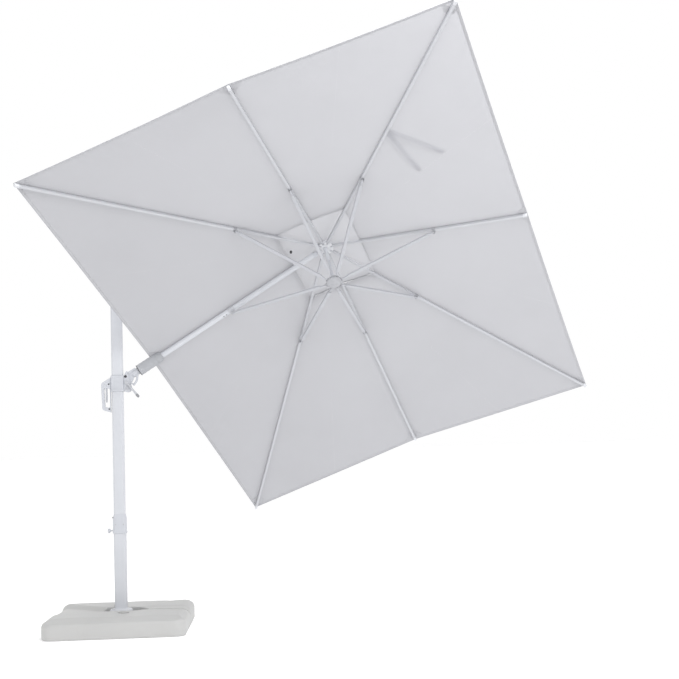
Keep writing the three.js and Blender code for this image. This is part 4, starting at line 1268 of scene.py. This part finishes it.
def build_strut_bracket():
    """A clamp round the boom, with two ears and a pin for the boom's strut."""
    along = float((joint_point("strut_boom_fold") - BOOM_START) @ BOOM_AXIS)
    drop = -0.040
    ring = spun([(radius, along + step) for radius, step in
                 ((0.0193, -0.024), (0.0208, -0.024), (0.0215, -0.0225), (0.0215, 0.0225),
                  (0.0208, 0.024), (0.0193, 0.024), (0.0193, -0.024))], 48)
    piece("strut_bracket_ring", ring, GREY_LIGHT, "boom", BOOM @ ALONG_X, "strut_bracket")
    outline = arc(along, drop, 0.0085, 180, 360, 12) + [(along + 0.013, -0.0195), (along - 0.013, -0.0195)]
    for name, side in SIDES:
        at = BOOM @ shift(y=side * 0.0080)
        plate("strut_bracket_ear_" + name, [outline], 0.0036, 0.0009, GREY_LIGHT, "boom", at)
    pin = cylinder(0.0032, -0.0115, 0.0115, 0.0006, 20)
    piece("strut_bracket_pin", pin, STEEL, "boom", BOOM @ shift(along, 0, drop) @ ALONG_Y)
    button = spun([(0, 0), (0.0042, 0), (0.0036, 0.0022), (0, 0.0030)], 18)
    buttons = [place(button, BOOM @ shift(along - back, 0, -BOOM_RADIUS + 0.0004) @ turned(180, "X"))
               for back in (0.045, 0.067)]
    piece("boom_buttons", joined(*buttons), DARK_GREY, "boom")


# ------------------------------------------------------------------ crown, ribs and struts
def build_crown():
    post = spun([(0, -0.134), (0.0085, -0.134), (0.0098, -0.1325), (0.0118, -0.128), (0.0120, -0.030),
                 (0.0150, -0.022), (0.0165, -0.0083), (0, -0.0083)], 36)
    piece("crown_post_tube", post, PAINT, "crown", CANOPY, "crown_post")
    finial = spun([(0, 0.0183), (0.0090, 0.0183), (0.0092, 0.030), (0.0105, 0.0380), (0.0148, 0.0465),
                   (0.0168, 0.0530), (0.0166, 0.0585), (0.0140, 0.0630), (0.0090, 0.0657), (0, 0.0663)], 40)
    piece("crown_finial_cap", finial, WHITE_PLASTIC, "crown", CANOPY, "crown_finial")
    under = spun([(0.0180, -0.0095), (0.0300, -0.0095), (0.0312, -0.0083), (0.0168, -0.0083),
                  (0.0180, -0.0095)], 48)
    piece("crown_hub_boss", under, WHITE_PLASTIC, "crown", CANOPY)
    build_runner()


def build_runner():
    """The hub that the struts meet in: a ring with eight sockets, a domed underside and its tube."""
    z = RUNNER_Z
    hub = spun([(radius, z + step) for radius, step in
                ((0, -0.0285), (0.0060, -0.0284), (0.0120, -0.0268), (0.0170, -0.0215), (0.0300, -0.0170),
                 (0.0385, -0.0162), (0.0400, -0.0145), (0.0490, -0.0075), (0.0518, -0.0050),
                 (0.0520, 0.0075), (0.0500, 0.0100), (0.0380, 0.0160), (0.0300, 0.0170), (0, 0.0170))], 64)
    # the runner's darker nylon is painted shade
    piece("runner_hub_ring", hub, SHADED_RUNNER_PLASTIC, "runner", CANOPY, "runner_hub")
    ear = bar(0.0014, 0.0085, 0.0012, eased(0.040, 0.0585, 0.003, 0.8))
    head = cylinder(0.0036, 0.0100, 0.0122, 0.0006, 16)
    sockets = []
    for rib in RIBS:
        turn = Matrix.Rotation(rib.azimuth, 4, "Z")
        for side in (-1, 1):
            sockets.append(place(ear, turn @ shift(0, side * 0.0092, z)))
            sockets.append(place(head, turn @ outward(side, 0.0530, 0, z)))
    piece("runner_sockets", joined(*sockets), SHADED_RUNNER_PLASTIC, "runner", CANOPY)
    tube = spun([(0, z + 0.0173), (0.0125, z + 0.0173), (0.0125, z + 0.030), (0.0100, z + 0.033),
                 (0.0100, -0.143), (0.0085, -0.1375), (0.0070, -0.1363), (0, -0.1363)], 32)
    piece("runner_tube_rod", tube, PAINT, "runner", CANOPY, "runner_tube")


def build_rib(rib):
    """A rectangular tube with a forged root, a plastic tip and a saddle for its strut."""
    at = rib.frame()
    length = rib.length
    tube = bar(0.0090, 0.0100, 0.0026, eased(0.0200, length - 0.012, 0.0006, 0.97))
    root = bar(0.0044, 0.0058, 0.0016, [(-0.0055, 0.5), (-0.0040, 0.85), (0.0, 1.0), (0.0080, 1.0),
                                        (0.0130, 1.35), (0.0215, 1.62)])
    # the rib's paint is a darker copy of the white powder coat: painted shade
    piece("rib_bar_" + rib.name, joined(tube, root), SHADED_RIB_PAINT, rib.body, at, "rib_" + rib.name)
    tip = bar(0.0098, 0.0108, 0.0036, [(length - back, scale) for back, scale in
                                       ((0.034, 0.985), (0.033, 1.0), (0.011, 1.0), (0.0072, 0.93),
                                        (0.0058, 0.80))])
    piece("rib_tip_" + rib.name, tip, WHITE_PLASTIC, rib.body, at)
    pivot = at.inverted() @ Vector(joint_point("strut_" + rib.name + "_fold"))
    build_saddle(rib, at, pivot.x, pivot.z)


def build_saddle(rib, at, x, drop):
    """Two ears that hang from a rib and hold its strut's pin, and a second pin through the rib."""
    outline = arc(x, drop, 0.0078, 180, 360, 12)
    outline += [(x + 0.0125, -0.0060), (x + 0.0135, 0.0085), (x - 0.0135, 0.0085), (x - 0.0125, -0.0060)]
    for name, side in SIDES:
        plate("strut_ear_" + name + "_" + rib.name, [outline], 0.0016, 0.0004, SADDLE_PLASTIC, rib.body,
              at @ shift(y=side * 0.0098), steps=1)
    pin = place(cylinder(0.0030, -0.0118, 0.0118, 0.0008, 18), shift(x, 0, drop) @ ALONG_Y)
    upper = place(cylinder(0.0024, -0.0112, 0.0112, 0.0006, 14), shift(x, 0, 0.0022) @ ALONG_Y)
    piece("strut_pin_" + rib.name, joined(pin, upper), STEEL, rib.body, at)


def build_strut(rib):
    """A pressed channel, open towards the cloth, with a flat tongue at each end."""
    name = "strut_" + rib.name
    pivot = joint_point(name + "_fold")
    foot = np.array(CANOPY @ Vector((*(rib.out * SOCKET_RADIUS), RUNNER_Z)))
    along = unit(foot - pivot)
    length = float(np.linalg.norm(foot - pivot))
    across = unit(np.cross(along, CANOPY_UP))
    down = np.cross(along, across)
    if down @ CANOPY_UP > 0:
        across, down = -across, -down
    at = matrix(pivot, along, across, down)
    section = channel_section(0.0110, 0.0070, 0.0020, 0.003)
    channel = loft([upright_ring(x, section * scale) for x, scale in
                    ((0.034, 0.96), (0.036, 1.0), (length - 0.046, 1.0), (length - 0.044, 0.96))])
    upper = bar(0.0049, 0.0060, 0.0014, [(-0.0060, 0.55), (-0.0045, 0.88), (0.0, 1.0), (0.042, 1.0),
                                         (0.046, 0.9)])
    lower = bar(0.0039, 0.0056, 0.0012, [(length - 0.054, 0.9), (length - 0.048, 1.0),
                                         (length - 0.006, 1.0), (length - 0.002, 0.6)])
    # the strut's paint is a darker copy of the white powder coat: painted shade
    piece("strut_channel_" + rib.name, joined(channel, upper, lower), SHADED_STRUT_PAINT, name, at, name)
    rivet = spun([(0, 0), (0.0034, 0), (0.0030, 0.0012), (0, 0.0019)], 16)
    rivets = [place(rivet, shift(x, 0, 0.0069)) for x in (0.040, length - 0.050)]
    piece("strut_rivets_" + rib.name, joined(*rivets), STEEL, name, at)


def channel_section(half, depth, wall, radius):
    """A channel that is open towards -z, drawn in y and z, with rounded outer corners."""
    angles = np.linspace(0, math.pi / 2, 5)
    left, right, top = -half + radius, half - radius, depth - radius
    points = [(-half, -depth)]
    points += [(left - radius * math.cos(t), top + radius * math.sin(t)) for t in angles]
    points += [(right + radius * math.sin(t), top + radius * math.cos(t)) for t in angles]
    points += [(half, -depth), (half - wall, -depth), (half - wall, depth - wall),
               (-half + wall, depth - wall), (-half + wall, -depth)]
    return np.array(points)


def build_toggle():
    """The small dark toggle that hangs at the vent's edge between the left rib and the boom."""
    body = spun([(0, -0.011), (0.0055, -0.0105), (0.0085, -0.006), (0.0088, 0.004), (0.0060, 0.0095),
                 (0.0020, 0.011), (0, 0.011)], 20)
    at = Matrix.Translation(CANOPY @ Vector((-0.220, -0.120, -0.040)))
    fold_with(piece("vent_toggle", body, DARK_PLASTIC, "boom", at), RIB["boom"])


# ------------------------------------------------------------------ light, floor and camera
def area_light(name, spot, aim, size, power):
    data = bpy.data.lights.new(name, "AREA")
    data.shape = "RECTANGLE"
    data.size, data.size_y = size
    data.energy = power
    obj = linked(name, data)
    obj.location = spot
    obj.rotation_euler = (Vector(aim) - Vector(spot)).to_track_quat("-Z", "Y").to_euler()


def build_stage():
    world = bpy.data.worlds.new("studio")
    bpy.context.scene.world = world
    world.use_nodes = True
    tree = world.node_tree
    background = tree.nodes["Background"]
    background.inputs["Strength"].default_value = 1.0
    split = tree.nodes.new("ShaderNodeSeparateXYZ")
    tree.links.new(tree.nodes.new("ShaderNodeTexCoord").outputs["Generated"], split.inputs[0])
    fall = tree.nodes.new("ShaderNodeMapRange")
    for socket, value in (("From Min", 0.36), ("From Max", 0.9), ("To Min", 1.0), ("To Max", 0.68)):
        fall.inputs[socket].default_value = value
    tree.links.new(split.outputs["Z"], fall.inputs["Value"])
    tree.links.new(fall.outputs["Result"], background.inputs["Color"])
    area_light("sky_panel", (2.2, 2.4, 6.4), (1.3, 0.0, 2.8), (4.0, 4.0), 120.0)
    area_light("high_panel", (2.9, -2.9, 5.6), (1.8, -0.3, 2.9), (2.6, 2.0), 130.0)
    area_light("front_panel", (2.6, -6.6, 5.6), (0.0, 0.0, 0.6), (2.0, 2.0), 110.0)
    n = Nodes("studio_floor")
    n.feed("Base Color", n.ramp(n.noise(0.6, 2.0), (0.3, (0.985,) * 3), (0.7, (0.995,) * 3)))
    n.constant("Roughness", 0.9)
    n.constant("Emission Color", (1.0, 1.0, 1.0, 1.0))
    n.constant("Emission Strength", 0.2)
    mesh = bpy.data.meshes.new("floor")
    mesh.from_pydata([(-60, -30, 0), (60, -30, 0), (60, 120, 0), (-60, 120, 0)], [], [(0, 1, 2, 3)])
    mesh.materials.append(n.material)
    linked("floor", mesh)


def build_camera():
    spot = Vector((1.114, -8.725, 1.246))
    yaw, pitch, roll = (math.radians(a) for a in (2.75, 4.41, -1.76))
    forward = Vector((math.sin(yaw) * math.cos(pitch), math.cos(yaw) * math.cos(pitch), math.sin(pitch)))
    level = forward.cross(Vector((0, 0, 1))).normalized()
    right = math.cos(roll) * level + math.sin(roll) * level.cross(forward)
    data = bpy.data.cameras.new("view")
    data.sensor_width = 36.0
    data.lens = 66.96
    data.clip_end = 400.0
    obj = linked("view", data)
    obj.matrix_world = matrix(spot, right, right.cross(forward), -forward)
    bpy.context.scene.camera = obj


# ------------------------------------------------------------------ everything in place
def build_all():
    for node, finish, width in REFINED:
        refined(node, finish, width)
    build_tank("tank_front", front_dip)
    build_tank("tank_rear", rear_dip)
    build_cap("filler_cap_front", "cap_front")
    build_cap("filler_cap_rear", "cap_rear")
    build_turntable()
    build_lock_bracket()
    build_mast()
    build_carriage()
    build_knuckle()
    build_boom()
    build_crown()
    for rib in RIBS:
        if rib.name != "boom":
            build_rib(rib)
        build_strut(rib)
    build_toggle()
    build_fabric()
    closing_strap(RIB["outer_left"])


build_stage()
build_camera()
build_all()
bpy.context.scene.view_settings.view_transform = "Standard"
